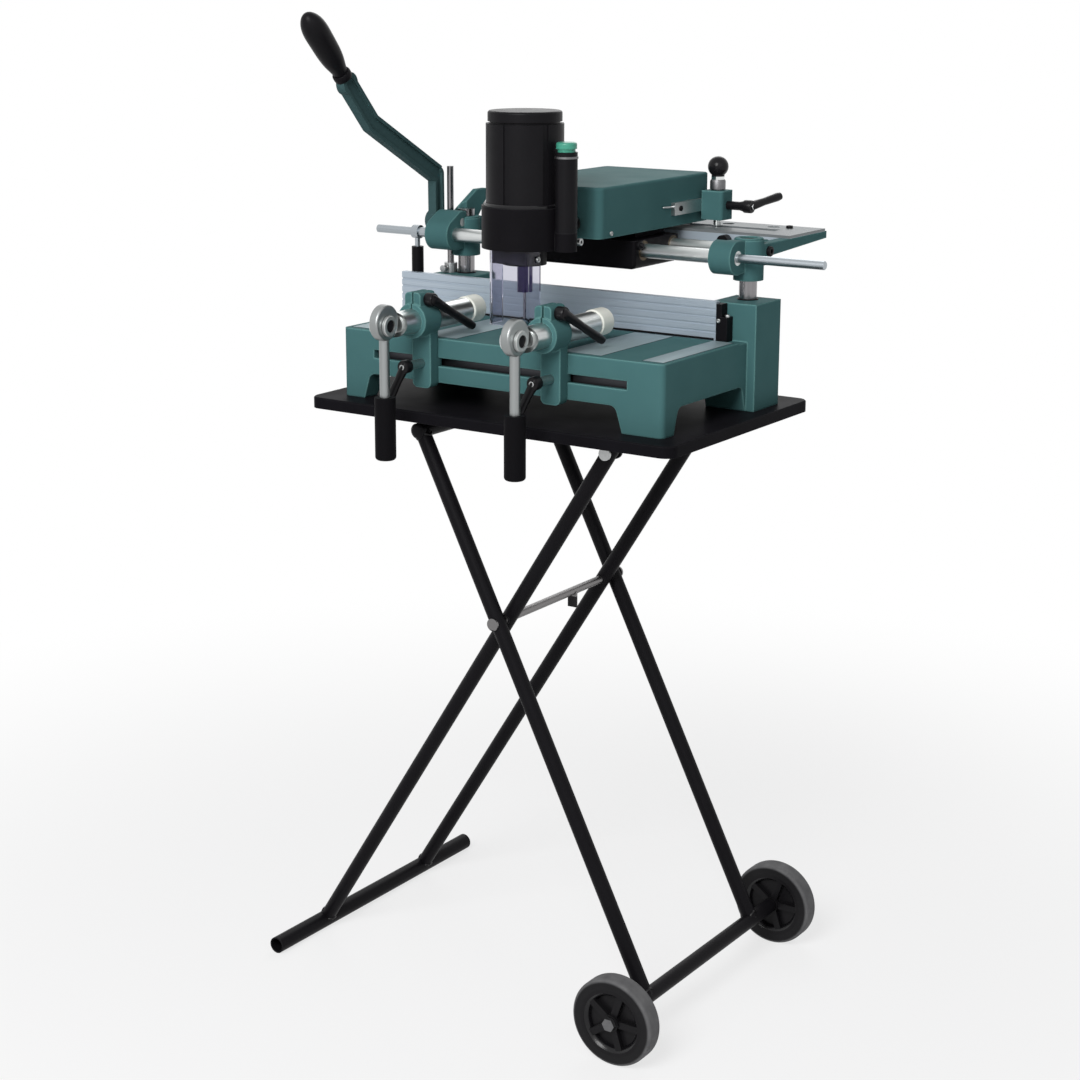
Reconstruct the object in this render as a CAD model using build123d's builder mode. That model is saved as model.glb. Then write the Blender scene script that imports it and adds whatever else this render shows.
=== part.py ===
from build123d import *
import os
from math import atan2, degrees, hypot, pi

# Copy router on a folding wheeled stand.
# Millimetres, +X to the operator's right, +Y to the back, +Z up, origin on the floor under the board's centre.

# Board and folding stand
board_width = 600
board_depth = 390
board_thickness = 16
board_height = 860
board_corner = 18
board_edge = 1.5
leg_diameter = 22
leg_wall = 1.5
inner_leg_y = 125
outer_leg_y = 152
leg_overrun = 14
hinge_drop = 20
inner_hinge_x = 165
outer_top_x = -130
foot_x = -348
foot_diameter = 25
foot_wall = 2
foot_length = 486
wheel_x = 251
wheel_diameter = 125
wheel_width = 31
wheel_y = 230.5
hub_diameter = 96
hub_rim = 5
hub_web = 10
hub_spokes = 5
spoke_width = 10
spoke_step = 2.5
tyre_round = 6.2
axle_diameter = 12
axle_nut_height = 6
axle_nut_radius = 9.6
pivot_diameter = 12
pivot_head_radius = 9
pivot_lug_y = 37.5
pivot_lug_width = 14.4
pivot_lug_drop = 24
hinge_pin_diameter = 10
hinge_head_radius = 9
bolt_head_height = 3
bracket_plate = 4
saddle_y = 70
saddle_length = 24
saddle_width = 20
saddle_shift = 10

# Clearances
running_gap = 0.05
free_gap = 0.3
wide_gap = 0.6

# Base casting with its two posts
base_width = 530
base_front = -157
base_back = 138
base_height = 98
base_top_plate = 22
base_front_wall = 39
base_rear_wall = 14
base_side_wall = 62
base_corner = 8
arch_height = 36
arch_slope = 11
arch_round = 12
arch_left = -228
arch_right = 203
side_arch_front = -128
side_arch_back = 66
slot_height = 12
slot_depth = 8
slot_z = 65
slot_width_inside = 24
slot_length = 420
post_inner_x = 208
post_outer_x = 278
post_front = 67
post_height = 148.5
base_bolt_diameter = 8
base_bolt_inset = 20

# Fence
fence_left = -318
fence_right = 225
fence_front = 50
fence_thickness = 10
fence_height = 53
fence_rebate = 2
fence_gap = 6
fence_groove_depth = 1.5
fence_groove_height = 3
fence_grooves = 4
end_block_width = 8
end_block_height = 50
end_step_width = 9
end_step_height = 32

# Head guides
column_diameter = 25
column_x = 241
column_y = 110
column_bottom = 895
column_top_right = 1086
column_top_left = 1105
bush_wall = 4
rod_diameter = 20
rod_z = 1070
front_rod_y = 70
rear_rod_y = 150
stop_bar_diameter = 12
stop_bar_length = 228
stop_bar_reach = 378
stop_bar_edge = 1
stop_rod_diameter = 10
stop_rod_x = -263
stop_rod_y = 100
stop_rod_top = 1168
stop_rod_seat = 24
collar_diameter = 20
collar_height = 15
thumb_screw_length = 16
thumb_screw_radius = 5

# End castings of the head
casting_inner_x = 212
casting_plate_inner_x = 226
casting_plate_outer_x = 246
front_boss_radius = 23.5
rear_boss_radius = 18
column_boss_radius = 21
column_boss_bottom = 1036
column_boss_top = 1092
left_boss_outer_x = 272
left_web_inner_x = 231
right_boss_outer_x = 246
arm_outer_x = 262
arm_width = 16
arm_end_y = 305
arm_rise = 16
arm_root_height = 19
arm_tip_height = 10
brace_top = 1130
brace_low = 1099
brace_width = 8
brace_front_y = 96
brace_bend_y = 151
brace_reach_y = 175

# Lever with its pinion
pinion_module = 1.5
pinion_teeth = 16
pinion_width = 12
tooth_height = 1.2
tooth_slack = 1.1
rack_gaps = 4
rack_gap_width = 2.8
lever_pivot_z = 1087
lever_shaft_diameter = 12
lever_thickness = 14
lever_hub_radius = 15
lever_hub_width = 18
shaft_boss_radius = 17
lever_foot_depth = 22
lever_depth = 27
lever_recess = 4
lever_rim = 5
lever_head_radius = 16
lever_bend_y = 86
lever_bend_z = 1156
lever_knee_y = -69
lever_knee_z = 1240
lever_grip_y = -121
lever_grip_z = 1298
grip_length = 118
grip_seat = 4
grip_neck_radius = 10
grip_shoulder = 0.25
grip_shoulder_radius = 15
grip_belly = 0.6
grip_radius = 18
grip_crown = 0.93
grip_crown_radius = 12

# Gas strut
strut_x = -303
strut_body_radius = 9
strut_body_top = 1048
strut_body_bottom = 940
strut_rod_radius = 4
strut_rod_bottom = 975
strut_eye_radius = 10
strut_eye_width = 12
strut_sleeve_wall = 1.4
strut_foot_z = 928

# Template beside the head
beam_front = 190
beam_depth = 20
beam_height = 19
plate_left = 40
plate_back = 300
plate_thickness = 4
template_slot_width = 20
template_slot_length = 150
template_slot_lead = 50
template_hole_radius = 9
template_hole_y = 274.5
template_hole_pitch = 75
knob_x = 161
knob_radius = 9
knob_length = 13

# X carriage
head_x = 4
carriage_width = 184
carriage_front = 45
carriage_back = 167
carriage_bottom = 1045
carriage_top = 1085
carriage_corner = 5
carriage_round = 8
saddle_block_width = 136
saddle_block_front = 85
saddle_block_back = 165
saddle_block_top = 1138
slide_rod_spacing = 96
slide_rod_z = 1116
linear_bush_wall = 4
linear_bush_length = 30

# Y slide box
box_width = 180
box_depth = 300
box_front = -43
box_bottom = 1096
box_height = 70
box_wall = 8
box_corner = 10
box_edge = 3

# Motor, handle and spindle
motor_y = -98
motor_offset = 4
motor_radius = 53
motor_top = 1270
motor_cap_height = 14
motor_cap_radius = 50.5
motor_cap_round = 3.5
motor_gap = 3
motor_grooves = 6
motor_groove_width = 8
motor_groove_depth = 2
motor_groove_turn = -84
clamp_ring_wall = 6
clamp_ring_bottom = 1086
clamp_ring_top = 1143
clamp_neck_width = 88
nose_radius = 30
nose_bottom = 1063
spindle_radius = 9
spindle_top = 1130
collet_radius = 10
collet_bottom = 1025
cutter_radius = 3
cutter_bottom = 988
cutter_grip = 18
handle_dx = 71
handle_dy = -6
handle_radius = 15
handle_bottom = 1111
handle_top = 1218
button_radius = 12
button_height = 13
button_cap_radius = 14
button_round = 3.2
button_seat = 10
button_travel = 4
guard_thickness = 2.5
guard_bottom = 983
guard_front = -140
guard_depth = 33
guard_width = 64
guard_bend = 7

# Tracer
tracer_bar_front = 147
tracer_bar_height = 18
tracer_bar_thickness = 6
tracer_block_size = 34
tracer_corner = 5
tracer_block_bottom = 1100
tracer_block_top = 1142
tracer_pin_radius = 5.5
tracer_pin_bottom = 1091
tracer_neck_radius = 9.5
tracer_neck_top = 1165
tracer_ball_radius = 15
tracer_ball_z = 1176
tracer_drop = 1
tracer_stud_reach = 28
tracer_lever_reach = (18, 54, 11)
tracer_lever_z = 1121

# Clamps
clamp_left_x = -112
clamp_right_x = 102
clamp_axis_z = 986
barrel_radius = 17
barrel_bore = 11
barrel_front = -240
barrel_back = -74
plunger_radius = 10.9
tip_radius = 19
tip_front = -73
tip_back = -45
tip_round = 2.4
cam_pivot_y = -258
cam_pivot_rise = 2
cam_throw = 4
cam_radius = 24.5
cam_width = 14
cam_round = 2.8
cam_pin_radius = 7
cam_collar_radius = 14.4
cam_collar_height = 2
cam_socket_radius = 6
cam_ear_width = 6.5
cam_ear_overlap = 8
cam_to_plunger = 1.5
handle_rod_radius = 7
handle_rod_end = 890
handle_grip_radius = 14.5
handle_grip_end = 803
handle_grip_round = 4.8
bracket_width = 31
bracket_plate_depth = 18
bracket_bottom = 890
bracket_round = 8
housing_radius = 24
housing_front = -197
housing_back = -160
lug_width = 26
lug_top = 1025
lug_split = 3
lug_round = 6
ratchet_z = 1015
lever_hub_size = 8
lever_hub_length = 12
lever_arm_start = 10
lever_arm_radius = 4.5
lever_neck_radius = 6
clamp_stud_radius = 4
slot_nut_radius = 10
ratchet_reach = (9, 77, -44)
lock_stud_reach = 30
lock_reach = (-20, -4, -40)

# Places worked out from the sizes above
board_bottom = board_height - board_thickness
hinge_z = board_bottom - hinge_drop
leg_radius = leg_diameter / 2
foot_radius = foot_diameter / 2
foot_z = foot_radius
wheel_radius = wheel_diameter / 2
wheel_z = wheel_radius
table_top = board_height + base_height
fence_seat = table_top - fence_rebate
post_top = board_height + post_height
pinion_radius = pinion_module * pinion_teeth / 2
pitch_line_y = column_y - column_diameter / 2 + tooth_height
lever_pivot_y = pitch_line_y - pinion_radius
box_right = head_x + box_width / 2
box_top = box_bottom + box_height
arm_top = rod_z + arm_rise
plate_top = arm_top + plate_thickness
tracer_x = box_right + tracer_bar_thickness + tracer_block_size / 2
tracer_y = box_front + box_depth - tracer_block_size / 2
motor_x = head_x + motor_offset
handle_x = motor_x + handle_dx
handle_y = motor_y + handle_dy
lever_x = -(left_boss_outer_x + free_gap + lever_thickness / 2)
slot_centre_z = board_height + slot_z
bracket_front = base_front - free_gap - bracket_plate_depth
base_bolt_x = base_width / 2 - base_bolt_inset
base_bolt_rows = (base_front + base_bolt_inset, base_back - base_bolt_inset)
cam_pivot_z = clamp_axis_z + cam_pivot_rise
cam_centre_z = cam_pivot_z + cam_throw
plunger_front = cam_pivot_y + cam_radius + cam_to_plunger

os.makedirs("parts", exist_ok=True)


def save(part, name):
    part.label = name
    export_step(part, f"parts/{name}.step")


def block(x0, x1, y0, y1, z0, z1, mode=Mode.ADD):
    with Locations(((x0 + x1) / 2, (y0 + y1) / 2, (z0 + z1) / 2)):
        Box(x1 - x0, y1 - y0, z1 - z0, mode=mode)


def disc_x(radius, x0, x1, y, z, mode=Mode.ADD):
    with Locations(Location(((x0 + x1) / 2, y, z), (0, 90, 0))):
        Cylinder(radius, x1 - x0, mode=mode)


def disc_y(radius, y0, y1, x, z, mode=Mode.ADD):
    with Locations(Location((x, (y0 + y1) / 2, z), (90, 0, 0))):
        Cylinder(radius, y1 - y0, mode=mode)


def disc_z(radius, z0, z1, x, y, mode=Mode.ADD):
    with Locations((x, y, (z0 + z1) / 2)):
        Cylinder(radius, z1 - z0, mode=mode)


def rod_between(radius, start, end, mode=Mode.ADD):
    with BuildSketch(Plane(origin=start, z_dir=Vector(*end) - Vector(*start))) as section:
        Circle(radius)
    extrude(section.sketch, amount=(Vector(*end) - Vector(*start)).length, mode=mode)


# Stand geometry: the legs cross where their centre lines meet
inner_run = foot_x - inner_hinge_x
inner_fall = foot_z - hinge_z
outer_run = wheel_x - outer_top_x
outer_fall = wheel_z - hinge_z
cross_share = (outer_top_x - inner_hinge_x) / (inner_run - outer_run * inner_fall / outer_fall)
cross_x = inner_hinge_x + cross_share * inner_run
cross_z = hinge_z + cross_share * inner_fall


# Board
with BuildPart() as board:
    block(-board_width / 2, board_width / 2, -board_depth / 2, board_depth / 2, board_bottom, board_height)
    fillet(board.edges().filter_by(Axis.Z), board_corner)
    chamfer(board.faces().sort_by(Axis.Z)[-1].edges(), board_edge)
    for side in (-1, 1):
        for bolt_y in base_bolt_rows:
            disc_z(base_bolt_diameter / 2, board_bottom, board_height, side * base_bolt_x, bolt_y,
                   Mode.SUBTRACT)
save(board.part, "board")

# Brackets under the board: two hinge angles for the inner legs, two saddles over the outer legs' top tube
ear_outer = inner_leg_y - leg_radius - free_gap
ear_inner = ear_outer - bracket_plate
with BuildPart() as stand_brackets:
    for side in (-1, 1):
        low, high = sorted((side * ear_inner, side * ear_outer))
        block(inner_hinge_x - leg_radius, inner_hinge_x + leg_radius, low, high, hinge_z, board_bottom)
        disc_y(leg_radius, low, high, inner_hinge_x, hinge_z)
        flange = sorted((side * (ear_inner - 2 * leg_radius), side * ear_outer))
        block(inner_hinge_x - leg_radius, inner_hinge_x + leg_diameter, *flange,
              board_bottom - bracket_plate, board_bottom)
        disc_y(hinge_pin_diameter / 2, low, high, inner_hinge_x, hinge_z, Mode.SUBTRACT)
        saddle_x = outer_top_x + saddle_shift
        block(saddle_x - saddle_length / 2, saddle_x + saddle_length / 2, side * saddle_y - saddle_width / 2,
              side * saddle_y + saddle_width / 2, hinge_z + leg_radius + free_gap, board_bottom)
save(stand_brackets.part, "stand_brackets")

# Bolts of the root: four base bolts and the two hinge pins
pin_outer = inner_leg_y + leg_radius + free_gap
with BuildPart() as frame_bolts:
    for side in (-1, 1):
        for bolt_y in base_bolt_rows:
            bolt_x = side * base_bolt_x
            disc_z(base_bolt_diameter / 2, board_bottom, board_height + base_bolt_inset, bolt_x, bolt_y)
            with BuildSketch(Plane.XY.offset(board_bottom - bolt_head_height)) as bolt_head:
                with Locations((bolt_x, bolt_y)):
                    RegularPolygon(base_bolt_diameter, 6)
            extrude(bolt_head.sketch, amount=bolt_head_height)
        low, high = sorted((side * ear_inner, side * pin_outer))
        disc_y(hinge_pin_diameter / 2, low, high, inner_hinge_x, hinge_z)
        low, high = sorted((side * pin_outer, side * (pin_outer + bolt_head_height)))
        disc_y(hinge_head_radius, low, high, inner_hinge_x, hinge_z)
save(frame_bolts.part, "frame_bolts")


# A leg: a straight tube whose ends are notched round the cross tubes and drilled for the pins
def leg(start, end, y, over_start, over_end, notches, holes):
    way = Vector(end[0] - start[0], 0, end[1] - start[1]).normalized()
    first = Vector(start[0], y, start[1]) - way * over_start
    last = Vector(end[0], y, end[1]) + way * over_end
    with BuildPart() as tube:
        rod_between(leg_radius, tuple(first), tuple(last))
        rod_between(leg_radius - leg_wall, tuple(first), tuple(last), Mode.SUBTRACT)
        for hole_x, hole_z, hole_radius in holes:
            disc_y(hole_radius + leg_wall, y - leg_radius, y + leg_radius, hole_x, hole_z)
            disc_y(hole_radius, y - leg_diameter, y + leg_diameter, hole_x, hole_z, Mode.SUBTRACT)
        for notch_x, notch_z, notch_radius in notches:
            disc_y(notch_radius, y - leg_diameter, y + leg_diameter, notch_x, notch_z, Mode.SUBTRACT)
    return tube.part


hinge_hole = (inner_hinge_x, hinge_z, hinge_pin_diameter / 2 + running_gap)
inner_holes = (hinge_hole, (cross_x, cross_z, pivot_diameter / 2))
outer_holes = ((cross_x, cross_z, pivot_diameter / 2 + running_gap),)
foot_notch = ((foot_x, foot_z, foot_radius),)
tube_notches = ((outer_top_x, hinge_z, leg_radius), (wheel_x, wheel_z, leg_radius))
for side, name in ((-1, "front"), (1, "rear")):
    save(leg((inner_hinge_x, hinge_z), (foot_x, foot_z), side * inner_leg_y, leg_overrun, 0, foot_notch,
             inner_holes), f"inner_leg_{name}")
    save(leg((outer_top_x, hinge_z), (wheel_x, wheel_z), side * outer_leg_y, 0, 0, tube_notches,
             outer_holes), f"outer_leg_{name}")


def cross_tube(x, z, radius, wall, length):
    with BuildPart() as tube:
        disc_y(radius, -length / 2, length / 2, x, z)
        disc_y(radius - wall, -length / 2, length / 2, x, z, Mode.SUBTRACT)
    return tube.part


# Foot bar, the outer legs' top tube and the axle tube
axle_tube_length = 2 * (wheel_y - wheel_width / 2 - bolt_head_height)
save(cross_tube(foot_x, foot_z, foot_radius, foot_wall, foot_length), "foot_bar")
save(cross_tube(outer_top_x, hinge_z, leg_radius, leg_wall, 2 * (outer_leg_y + leg_radius)), "outer_top_tube")
save(cross_tube(wheel_x, wheel_z, leg_radius, leg_radius - axle_diameter / 2, axle_tube_length), "axle_tube")

# Pivot rod through all four legs, with flat heads and a hanging hook lug
pivot_end = outer_leg_y + leg_radius + free_gap
with BuildPart() as pivot_rod:
    disc_y(pivot_diameter / 2, -pivot_end, pivot_end, cross_x, cross_z)
    for side in (-1, 1):
        low, high = sorted((side * pivot_end, side * (pivot_end + bolt_head_height)))
        disc_y(pivot_head_radius, low, high, cross_x, cross_z)
    block(cross_x - pivot_lug_width / 2, cross_x + pivot_lug_width / 2, pivot_lug_y,
          pivot_lug_y + bracket_plate, cross_z - pivot_lug_drop, cross_z)
save(pivot_rod.part, "pivot_rod")

# Axle with a nut at each end
axle_end = wheel_y + wheel_width / 2
with BuildPart() as axle:
    disc_y(axle_diameter / 2, -axle_end, axle_end, wheel_x, wheel_z)
    for side in (-1, 1):
        with BuildSketch(Plane.XZ.offset(-side * axle_end)) as nut:
            with Locations((wheel_x, wheel_z)):
                RegularPolygon(axle_nut_radius, 6)
        extrude(nut.sketch, amount=-side * axle_nut_height)
save(axle.part, "axle")


# A wheel: spoked hub inside a rounded tyre
def wheel(y):
    low, high = y - wheel_width / 2 + free_gap, y + wheel_width / 2 - free_gap
    hub_radius = hub_diameter / 2
    sleeve = axle_diameter
    with BuildPart() as hub:
        disc_y(hub_radius, low, high, wheel_x, wheel_z)
        disc_y(hub_radius - hub_rim, low, high, wheel_x, wheel_z, Mode.SUBTRACT)
        disc_y(hub_radius - hub_rim, y - hub_web / 2, y + hub_web / 2, wheel_x, wheel_z)
        disc_y(sleeve, low, high, wheel_x, wheel_z)
        for spoke in range(hub_spokes):
            turn = 360 / hub_spokes * spoke
            with Locations(Location((wheel_x, y, wheel_z), (0, turn, 0))):
                with Locations(((hub_radius - hub_rim / 2 + sleeve / 2) / 2, 0, 0)):
                    Box(hub_radius - hub_rim / 2 - sleeve / 2, high - low - 2 * spoke_step, spoke_width)
        disc_y(axle_diameter / 2 + running_gap, low, high, wheel_x, wheel_z, Mode.SUBTRACT)
    with BuildPart() as tyre:
        disc_y(wheel_radius, low, high, wheel_x, wheel_z)
        fillet(tyre.edges().filter_by(GeomType.CIRCLE), tyre_round)
        disc_y(hub_radius, low, high, wheel_x, wheel_z, Mode.SUBTRACT)
    return Compound(children=[hub.part, tyre.part])


save(wheel(-wheel_y), "front_wheel")
save(wheel(wheel_y), "rear_wheel")

# Base casting: table with the fence's rebate, hollow underside with arches, T slot along the front, two posts
with BuildPart() as base_casting:
    block(-base_width / 2, base_width / 2, base_front, base_back, board_height, table_top)
    fillet(base_casting.edges().filter_by(Axis.Z), base_corner)
    block(-base_width / 2, base_width / 2, fence_front - fence_gap, base_back, fence_seat, table_top,
          Mode.SUBTRACT)
    for side in (-1, 1):
        low, high = sorted((side * post_inner_x, side * post_outer_x))
        block(low, high, post_front, base_back, board_height, post_top)
    block(base_side_wall - base_width / 2, base_width / 2 - base_side_wall, base_front + base_front_wall,
          base_back - base_rear_wall, board_height, table_top - base_top_plate, Mode.SUBTRACT)
    arch_top = board_height + arch_height
    for plane, low, high in ((Plane.XZ, arch_left, arch_right), (Plane.YZ, side_arch_front, side_arch_back)):
        with BuildSketch(plane) as arch:
            with BuildLine():
                Polyline((low, board_height), (low + arch_slope, arch_top), (high - arch_slope, arch_top),
                         (high, board_height), close=True)
            make_face()
            fillet(arch.vertices().group_by(Axis.Y)[-1], arch_round)
        extrude(amount=base_width, both=True, mode=Mode.SUBTRACT)
    block(-slot_length / 2, slot_length / 2, base_front, base_front + slot_depth,
          slot_centre_z - slot_height / 2, slot_centre_z + slot_height / 2, Mode.SUBTRACT)
    block(-slot_length / 2, slot_length / 2, base_front + slot_depth, base_front + 2 * slot_depth,
          slot_centre_z - slot_width_inside / 2, slot_centre_z + slot_width_inside / 2, Mode.SUBTRACT)
    for side in (-1, 1):
        disc_z(column_diameter / 2, column_bottom, post_top, side * column_x, column_y, Mode.SUBTRACT)
        for bolt_y in base_bolt_rows:
            disc_z(base_bolt_diameter / 2, board_height, board_height + base_bolt_inset, side * base_bolt_x,
                   bolt_y, Mode.SUBTRACT)
    disc_z(stop_rod_diameter / 2, post_top - stop_rod_seat, post_top, stop_rod_x, stop_rod_y, Mode.SUBTRACT)
save(base_casting.part, "base_casting")

# Fence: a grooved bar along the back of the table
fence_back = fence_front + fence_thickness
with BuildPart() as fence:
    block(fence_left, fence_right, fence_front, fence_back, fence_seat, table_top + fence_height)
    for groove in range(fence_grooves):
        groove_z = table_top + fence_height * (groove + 1) / (fence_grooves + 1)
        block(fence_left, fence_right, fence_front, fence_front + fence_groove_depth,
              groove_z - fence_groove_height / 2, groove_z + fence_groove_height / 2, Mode.SUBTRACT)
save(fence.part, "fence")

# Blocks that hold the fence to the posts
with BuildPart() as fence_end_blocks:
    block(post_inner_x, fence_right + end_block_width, fence_back, post_front, fence_seat,
          table_top + end_block_height)
    block(fence_right, fence_right + end_block_width, fence_front, fence_back, fence_seat,
          table_top + end_block_height)
    block(fence_right + end_block_width, fence_right + end_block_width + end_step_width, fence_front, post_front,
          fence_seat, table_top + end_step_height)
    block(-post_inner_x - end_block_width - end_step_width, -post_inner_x, fence_back, post_front, fence_seat,
          table_top + end_block_height)
save(fence_end_blocks.part, "fence_end_blocks")

# Columns stand in the posts; the left one carries the rack
tooth_pitch = pi * pinion_module
with BuildPart() as guide_columns:
    disc_z(column_diameter / 2, column_bottom, column_top_left, -column_x, column_y)
    disc_z(column_diameter / 2, column_bottom, column_top_right, column_x, column_y)
    for tooth in range(-rack_gaps, rack_gaps):
        gap_z = lever_pivot_z + tooth * tooth_pitch
        block(-column_x - column_diameter / 2, -column_x + column_diameter / 2, column_y - column_diameter / 2,
              pitch_line_y + tooth_height + free_gap, gap_z - rack_gap_width / 2, gap_z + rack_gap_width / 2,
              Mode.SUBTRACT)
save(guide_columns.part, "guide_columns")

# Depth stop rod on the left post and the collar clamped on it
with BuildPart() as stop_rod:
    disc_z(stop_rod_diameter / 2, post_top - stop_rod_seat, stop_rod_top, stop_rod_x, stop_rod_y)
save(stop_rod.part, "stop_rod")

with BuildPart() as stop_collar:
    disc_z(collar_diameter / 2, post_top + free_gap, post_top + collar_height, stop_rod_x, stop_rod_y)
    screw_z = post_top + collar_height / 2
    disc_y(thumb_screw_radius / 2, stop_rod_y - thumb_screw_length, stop_rod_y, stop_rod_x, screw_z)
    disc_y(thumb_screw_radius, stop_rod_y - thumb_screw_length - thumb_screw_radius,
           stop_rod_y - thumb_screw_length, stop_rod_x, screw_z)
    disc_z(stop_rod_diameter / 2 + running_gap, post_top, post_top + collar_height, stop_rod_x, stop_rod_y,
           Mode.SUBTRACT)
save(stop_collar.part, "stop_collar")

# Gas strut: body on the left post, rod with its eye round the left stop bar
strut_y = front_rod_y
with BuildPart() as strut_body:
    disc_z(strut_body_radius, strut_body_bottom, strut_body_top, strut_x, strut_y)
    disc_z(strut_rod_radius + free_gap, strut_body_bottom + strut_body_radius, strut_body_top, strut_x, strut_y,
           Mode.SUBTRACT)
    disc_z(strut_rod_radius, strut_foot_z, strut_body_bottom, strut_x, strut_y)
    disc_x(strut_body_radius, strut_x - strut_eye_width / 2, strut_x + strut_eye_width / 2, strut_y,
           strut_foot_z)
    disc_x(strut_rod_radius, strut_x, -post_outer_x, strut_y, strut_foot_z)
save(strut_body.part, "strut_body")

with BuildPart() as strut_rod:
    disc_z(strut_rod_radius, strut_rod_bottom, rod_z, strut_x, strut_y)
    disc_x(strut_eye_radius, strut_x - strut_eye_width / 2, strut_x + strut_eye_width / 2, strut_y, rod_z)
    disc_x(stop_bar_diameter / 2 + strut_sleeve_wall, strut_x, -left_boss_outer_x, strut_y, rod_z)
    disc_x(stop_bar_diameter / 2 + free_gap, strut_x - strut_eye_width, -left_boss_outer_x, strut_y, rod_z,
           Mode.SUBTRACT)
save(strut_rod.part, "strut_rod")


# An end casting: web round both rods, column boss, rear arm; the left one also holds the lever shaft
def end_casting(side):
    boss_outer = left_boss_outer_x if side < 0 else right_boss_outer_x
    web_outer = left_boss_outer_x if side < 0 else casting_plate_outer_x
    with BuildPart() as casting:
        web_inner = left_web_inner_x if side < 0 else casting_plate_inner_x
        web_low, web_high = sorted((side * web_inner, side * web_outer))
        with BuildSketch(Plane.YZ.offset(web_low)) as web:
            with Locations((front_rod_y, rod_z)):
                Circle(front_boss_radius)
            with Locations((rear_rod_y, rod_z)):
                Circle(rear_boss_radius)
            if side < 0:
                with Locations((lever_pivot_y, lever_pivot_z)):
                    Circle(shaft_boss_radius)
            make_hull(web.edges())
        extrude(amount=web_high - web_low)
        boss_inner = left_web_inner_x if side < 0 else casting_inner_x
        boss_low, boss_high = sorted((side * boss_inner, side * boss_outer))
        disc_x(front_boss_radius, boss_low, boss_high, front_rod_y, rod_z)
        disc_z(column_boss_radius, column_boss_bottom, column_boss_top, side * column_x, column_y)
        arm_low, arm_high = sorted((side * (arm_outer_x - arm_width), side * arm_outer_x))
        with BuildSketch(Plane.YZ.offset(arm_low)):
            with BuildLine():
                Polyline((column_y, arm_top - arm_root_height), (arm_end_y, arm_top - arm_tip_height),
                         (arm_end_y, arm_top), (column_y, arm_top), close=True)
            make_face()
        extrude(amount=arm_width)
        if side < 0:
            with BuildSketch(Plane.YZ.offset((arm_low + arm_high - brace_width) / 2)):
                with BuildLine():
                    Polyline((brace_front_y, arm_top), (brace_front_y, brace_low), (brace_bend_y, brace_top),
                             (brace_reach_y, brace_top), (brace_reach_y, brace_top - 2 * brace_width),
                             (brace_bend_y, arm_top), close=True)
                make_face()
            extrude(amount=brace_width)
        disc_x(rod_diameter / 2, boss_low, boss_high, front_rod_y, rod_z, Mode.SUBTRACT)
        disc_x(rod_diameter / 2, web_low, web_high, rear_rod_y, rod_z, Mode.SUBTRACT)
        disc_z(column_diameter / 2 + bush_wall, column_boss_bottom, brace_top, side * column_x, column_y,
               Mode.SUBTRACT)
        if side < 0:
            disc_x(lever_shaft_diameter / 2 + running_gap, web_low, web_high, lever_pivot_y, lever_pivot_z,
                   Mode.SUBTRACT)
            disc_x(pinion_radius + tooth_height + free_gap, -column_x - pinion_width / 2 - free_gap,
                   -column_x + pinion_width / 2 + free_gap, lever_pivot_y, lever_pivot_z, Mode.SUBTRACT)
            disc_z(stop_rod_diameter / 2 + wide_gap, column_boss_bottom, brace_top, stop_rod_x, stop_rod_y,
                   Mode.SUBTRACT)
            block(-left_boss_outer_x, stop_rod_x, stop_rod_y - stop_rod_diameter / 2 - wide_gap,
                  stop_rod_y + stop_rod_diameter / 2 + wide_gap, column_boss_bottom, brace_top, Mode.SUBTRACT)
    return casting.part


save(end_casting(-1), "left_casting")
save(end_casting(1), "right_casting")

# Bushes in the castings that run on the columns
with BuildPart() as column_bushes:
    for side in (-1, 1):
        disc_z(column_diameter / 2 + bush_wall, column_boss_bottom, column_boss_top, side * column_x, column_y)
        disc_z(column_diameter / 2 + running_gap, column_boss_bottom, column_boss_top, side * column_x,
               column_y, Mode.SUBTRACT)
    disc_x(pinion_radius + tooth_height + free_gap, -column_x - pinion_width / 2 - free_gap,
           -column_x + pinion_width / 2 + free_gap, lever_pivot_y, lever_pivot_z, Mode.SUBTRACT)
save(column_bushes.part, "column_bushes")

# Guide rods across the head: a tube in front, a solid rod behind
with BuildPart() as guide_rods:
    disc_x(rod_diameter / 2, -left_boss_outer_x, right_boss_outer_x, front_rod_y, rod_z)
    disc_x(stop_bar_diameter / 2 + free_gap, -left_boss_outer_x, right_boss_outer_x, front_rod_y, rod_z,
           Mode.SUBTRACT)
    disc_x(rod_diameter / 2, -left_boss_outer_x, casting_plate_outer_x, rear_rod_y, rod_z)
save(guide_rods.part, "guide_rods")

# Stop bars that slide in the ends of the front guide tube
for side, name in ((-1, "left"), (1, "right")):
    with BuildPart() as stop_bar:
        low, high = sorted((side * (stop_bar_reach - stop_bar_length), side * stop_bar_reach))
        disc_x(stop_bar_diameter / 2, low, high, front_rod_y, rod_z)
        chamfer(stop_bar.edges().filter_by(GeomType.CIRCLE), stop_bar_edge)
    save(stop_bar.part, f"{name}_stop_bar")

# Template carrier beam between the arms, template plate and its knob
knob_z = arm_top - beam_height / 2
with BuildPart() as template_beam:
    block(arm_width - arm_outer_x, arm_outer_x - arm_width, beam_front, beam_front + beam_depth,
          arm_top - beam_height, arm_top)
    disc_y(knob_radius / 2 + running_gap, beam_front, beam_front + beam_depth / 2, knob_x, knob_z,
           Mode.SUBTRACT)

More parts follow.
